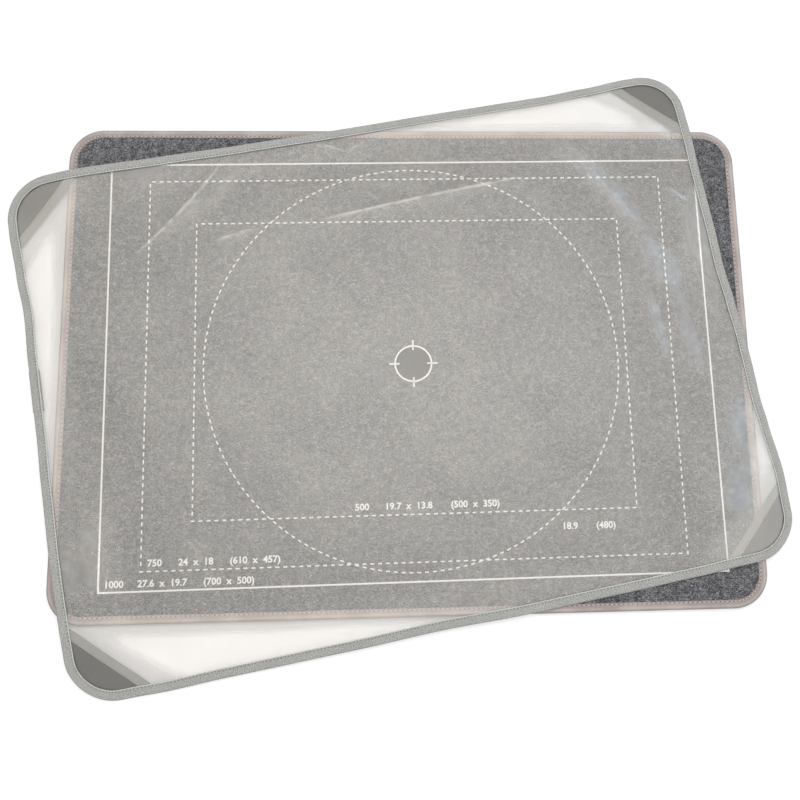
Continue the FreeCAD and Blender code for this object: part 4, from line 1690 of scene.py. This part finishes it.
        # needle holes as dark beads: painted shade in the holes between the stitches
        holes = run.seam("cover_edge_needle_hole_shade", tape, (Leg.UPPER,), holes=True)
        over = replace(
            tape, cover=tape.cover + self.lap_wider + self.lap_over, low=tape.low - self.lap_over,
            high=tape.high + self.lap_over, bend=tape.bend + self.lap_over,
            seam=tape.seam + self.lap_over, stitch=2.6, pull=0.3, crown=0.1, flare=0.15, waver=0.01,
        )
        lap_run = TapeRun(self.lap_length, False, self.lap_path, self.lie.lay)
        lap = lap_run.tape("cover_tape_lap", over, cells=22)
        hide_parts("cover_binding_end")
        lap_seam = lap_run.seam("cover_tape_lap_sewing", over, (Leg.UPPER,))
        top = tape.high + tape.thickness / 2 + tape.flare
        selvedge = run.cord("cover_tape_selvedge_highlight", tape.cover + self.selvedge_out, top, self.selvedge)
        cloth = WovenTape().make()
        thread = SewingThread("grey_sewing_thread", "b9bbb6").make()
        # dark grey: the lap seam's thread, and the painted shade of the needle holes
        dark_thread_and_hole_shade = SewingThread("dark_grey_thread_and_hole_shade", "6c6e6b").make()
        # painted highlight: the selvedge cord is paler than the tape where its edge catches the light
        pale = SewingThread("selvedge_painted_highlight", "e2e4de").make()
        dressed = {edge: cloth, seam: thread, holes: dark_thread_and_hole_shade, lap: cloth, lap_seam: dark_thread_and_hole_shade, selvedge: pale}
        for piece, finish in dressed.items():
            dress(piece, finish)
        return list(dressed)

    def lap_path(self, way: Array) -> tuple[Array, Array]:
        """The stretch of the left side that the tape's end is lapped over.

        Args:
            way: how far each point is along it.

        Returns:
            The points, and the unit vectors that point inward there.
        """
        across = self.lap_place + self.lap_length / 2 - way
        along = np.full_like(way, -self.half_length - self.lap_over)
        return rows(along, across), np.tile([1.0, 0.0], (len(way), 1))

    def pocket_heights(self, along: Array, across: Array) -> tuple[Array, Array, Array]:
        """Where a pocket's cloth lies, slack under the film and clear of the board.

        Args:
            along: places along the cover.
            across: places across the cover.

        Returns:
            x, y and z of the cloth's middle.
        """
        x, y, base = self.lie.edge(along, across)
        inward = -self.outline.outside(along, across)
        sag = self.pocket_slack * smooth((inward - self.pocket_slack_from) / self.pocket_slack_reach)
        taut, rest = base + self.pocket_rise, self.lie.ground(x, y) + self.pocket_rest
        return x, y, np.maximum(taut - sag, np.minimum(rest, taut))

    def from_corner(self, corner: Corner, p: Array, q: Array) -> tuple[Array, Array]:
        """Turns distances in from a corner's two edges into places on the cover."""
        sign_u, sign_v = corner.signs
        return sign_u * (self.half_length - p), sign_v * (self.half_width - q)

    def pocket_rim(self, share: Array) -> Array:
        """Follows a pocket's sewn edge from one end of its free edge round to the other.

        Args:
            share: from 0 to 1 along it.

        Returns:
            Rows of distances in from the corner's two edges.
        """
        straight, radius = self.pocket_cut - self.corner, self.corner - self.pocket_tucked
        way = share * (2 * straight + QUARTER_TURN * radius)
        bend = np.clip((way - straight) / radius, 0, QUARTER_TURN)
        after = np.maximum(way - straight - QUARTER_TURN * radius, 0)
        p = self.pocket_cut - np.minimum(way, straight) - radius * np.sin(bend)
        return rows(p, self.pocket_tucked + radius * (1 - np.cos(bend)) + after)

    def make_pocket(self, corner: Corner, cloth: Material) -> Piece:
        """Lays one pocket's triangular cloth, ruled between its free edge and its sewn edge.

        Args:
            corner: the pocket's corner.
            cloth: the cloth's finish.

        Returns:
            The pocket.
        """
        span = self.pocket_cut - self.pocket_tucked
        name = f"pocket_cloth_{corner.word}"
        size = (span * math.sqrt(2), span / math.sqrt(2))
        pocket, shares = weave_grid(name, self.pocket_cells, size)
        s, t = shares[:, :1], shares[:, 1:]
        free = np.concatenate([self.pocket_cut - s * span, self.pocket_tucked + s * span], axis=1)
        spot = free * (1 - t) + self.pocket_rim(shares[:, 0]) * t
        along, across = self.from_corner(corner, spot[:, 0], spot[:, 1])
        set_points(pocket, rows(*self.pocket_heights(along, across)))
        weld(pocket)
        thicken(pocket, self.pocket, even=False)
        dress(pocket, cloth)
        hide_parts(f"pocket_{corner.word}")
        return pocket

    def hem_run(self, corner: Corner) -> TapeRun:
        """Where one pocket's hem runs: along its free edge, its ends cut along the cover's sides.

        Args:
            corner: the pocket's corner.

        Returns:
            The run.
        """
        leg = self.pocket_leg
        span = leg - 2 * self.hem_tuck
        length = span * math.sqrt(2)

        def path(way: Array) -> tuple[Array, Array]:
            """Follows the free edge, and leans inward so that the hem narrows to its ends.

            Args:
                way: how far each point is along it.

            Returns:
                The points, and the ways that point inward there.
            """
            share = way / length
            p = leg - self.hem_tuck - span * share
            lean = rows(1 - share, share) * math.sqrt(2)
            return rows(*self.from_corner(corner, p, leg - p)), lean * np.array(corner.signs)

        def lay(along: Array, across: Array, height: Array) -> Array:
            """Lays the hem round its pocket's cloth."""
            x, y, z = self.pocket_heights(along, across)
            return rows(x, y, z + height)

        return TapeRun(length, False, path, lay)

    def make_hem(self, corner: Corner, cloth: Material, thread: Material) -> list[Piece]:
        """Folds and sews one pocket's hem tape.

        Args:
            corner: the pocket's corner.
            cloth: the tape's finish.
            thread: the thread's finish.

        Returns:
            The hem and its sewing.
        """
        rise = (self.pocket + self.hem_thickness) / 2 + self.hem_clear
        tape = FoldedTape(
            cover=self.hem_cover, thickness=self.hem_thickness, low=-rise, high=rise, bend=rise,
            seam=self.hem_cover - self.hem_seam, stitch=self.hem_stitch, pull=0.1, crown=0.05,
            flare=0.04, waver=0.01,
        )
        run = self.hem_run(corner)
        hem = run.tape(f"hem_tape_{corner.word}", tape, cells=16)
        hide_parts(f"hem_{corner.word}")
        seam = run.seam(f"hem_sewing_{corner.word}", tape, (Leg.UPPER,))
        for piece, finish in ((hem, cloth), (seam, thread)):
            dress(piece, finish)
        return [hem, seam]

    def build(self) -> list[Piece]:
        """Builds the cover's pieces.

        Returns:
            The pieces.
        """
        film = self.make_film()
        edge = self.make_edge()
        cloth = LiningCloth("pocket_lining_cloth", "353433", "2c2b2b").make()
        hem_cloth = WovenTape("woven_hem_tape", "a6a7a1", "8a8b86").make()
        hem_thread = SewingThread("hem_sewing_thread", "8f908c").make()
        pieces = [film, *edge]
        for corner in Corner:
            pocket = self.make_pocket(corner, cloth)
            hem = self.make_hem(corner, hem_cloth, hem_thread)
            pieces += [pocket, *hem]
        for piece in pieces:
            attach(piece, "cover")
        return pieces


@dataclass(frozen=True)
class Lamp:
    """One soft lamp that points at the board, with its place and size in metres."""

    name: str
    place: tuple[float, float, float]
    size: tuple[float, float]
    watts: float
    colour: str = WHITE

    def hang(self) -> None:
        """Hangs the lamp."""
        light = bpy.data.lights.new(self.name, "AREA")
        light.shape = "RECTANGLE"
        light.size, light.size_y = self.size
        light.energy = self.watts
        light.color = linear(self.colour)[:3]
        lamp = bpy.data.objects.new(self.name, light)
        lamp.location = self.place
        lamp.rotation_mode = "QUATERNION"
        lamp.rotation_quaternion = (-Vector(self.place)).to_track_quat("-Z", "Y")
        bpy.context.scene.collection.objects.link(lamp)


@dataclass
class Studio:
    """A white table top, soft light from above and the camera that the picture is taken with."""

    azimuth: float = -0.30313
    elevation: float = 1.354
    roll: float = 0.28207
    target: tuple[float, float, float] = (62.742, -55.486, 7.0)
    distance: float = 1208.08
    focal_pixels: float = 1048.38
    centre_pixels: tuple[float, float] = (466.28, 408.19)
    sensor: float = 36.0
    floor_half: float = 6000.0
    floor_low: float = 0.25
    floor_white: str = "bdbdbd"
    floor_dust: float = 250.0
    floor_glow: float = 0.2  # keeps the shadows on the white table soft
    glow_clear_of_film_shadow: float = 0.4  # where the table isn't seen through the film; seen through the film it lacks this glow and is darker, a painted shadow of the film, which casts none
    sky: float = 0.55
    lamps: tuple[Lamp, ...] = (
        Lamp("overhead_softbox", (0.05, 0.5, 2.3), (1.7, 0.9), 21.0),
        Lamp("front_fill", (-1.9, -1.9, 1.6), (1.4, 1.4), 5.0),
        Lamp("side_window", (2.3, 0.2, 0.9), (0.8, 1.6), 8.0, "d8e6ff"),
    )

    def aim(self) -> None:
        """Sets up the camera."""
        cos_e, sin_e = math.cos(self.elevation), math.sin(self.elevation)
        back = Vector((math.sin(self.azimuth) * cos_e, -math.cos(self.azimuth) * cos_e, sin_e))
        right = Vector((0, 0, 1)).cross(back).normalized()
        up = back.cross(right)
        rolled_right = right * math.cos(self.roll) + up * math.sin(self.roll)
        rolled_up = up * math.cos(self.roll) - right * math.sin(self.roll)
        place = (Vector(self.target) + back * self.distance) * MM
        lens = bpy.data.cameras.new("camera")
        lens.sensor_width = self.sensor
        lens.lens = self.sensor * self.focal_pixels / PICTURE
        lens.shift_x = (PICTURE / 2 - self.centre_pixels[0]) / PICTURE
        lens.shift_y = (self.centre_pixels[1] - PICTURE / 2) / PICTURE
        lens.clip_start, lens.clip_end = 0.01, 50.0
        camera = bpy.data.objects.new("camera", lens)
        turn = Matrix((rolled_right, rolled_up, back)).transposed()
        camera.matrix_world = Matrix.Translation(place) @ turn.to_4x4()
        bpy.context.scene.collection.objects.link(camera)
        bpy.context.scene.camera = camera

    def seen(self, tree: Tree) -> Socket:
        """Tells what is looked at from what only lights the scene.

        Args:
            tree: the node tree.

        Returns:
            1 where it is seen straight, in a mirror or through the film, and otherwise 0.
        """
        straight = add(tree, "LightPath", out="Is Camera Ray")
        ray = straight.node.outputs
        either = add(tree, "Math", (straight, ray["Is Glossy Ray"]), operation="MAXIMUM")
        return add(tree, "Math", (either, ray["Is Transmission Ray"]), operation="MAXIMUM")

    def surround(self) -> None:
        """Lights the scene evenly from all round, and shows plain white behind it."""
        world = bpy.data.worlds.new("white_room")
        world.use_nodes = True
        tree = world.node_tree
        tree.nodes.clear()
        light = add(tree, "Background", {"Color": WHITE, "Strength": self.sky})
        white = add(tree, "Background", {"Color": WHITE, "Strength": 1.0})
        mixed = add(tree, "MixShader", (self.seen(tree), light, white))
        feed(tree.nodes.new("ShaderNodeOutputWorld"), {"Surface": mixed})
        bpy.context.scene.world = world

    def table(self) -> None:
        """Lays the plain white table top under the board."""
        top = start_piece("table_top", bpy.ops.mesh.primitive_plane_add,
                          size=2 * self.floor_half * MM, location=(0, 0, -self.floor_low * MM))
        material, tree, shader, place = start_material("white_table_top")
        dust = add(tree, "TexNoise", {"Vector": place, "Scale": per(self.floor_dust), "Detail": 2.0})
        rough = add(tree, "MapRange", (dust, 0.0, 1.0, 0.85, 0.95))
        # painted shadow: the table seen through the film goes without the bare glow, standing in for the
        # film's own shadow
        shown, behind = self.seen(tree), add(tree, "LightPath", out="Transparent Depth")
        clear_of_film_shadow = add(tree, "Math", (shown, behind), operation="SUBTRACT", use_clamp=True)
        steady = add(tree, "Math", (shown, self.floor_glow), operation="MULTIPLY")
        glow = add(tree, "Math", (clear_of_film_shadow, self.glow_clear_of_film_shadow, steady), operation="MULTIPLY_ADD")
        feed(shader, {"Base Color": self.floor_white, "Roughness": rough, "Specular IOR Level": 0.0,
                      "Emission Color": WHITE, "Emission Strength": glow})
        dress(top, material)

    def build(self) -> None:
        """Sets up camera, lamps, surroundings and table."""
        self.aim()
        self.surround()
        self.table()
        for lamp in self.lamps:
            lamp.hang()
        bpy.context.scene.view_settings.view_transform = "Standard"


def main() -> None:
    """Builds the studio, the board and the cover."""
    logging.basicConfig(level=logging.INFO, format="%(name)s: %(message)s")
    Studio().build()
    board = Board()
    for piece in board.build() + Cover(board).build():
        log.info("piece %s", piece.name)
    log.info("sizes written")


if __name__ == "__main__":
    main()
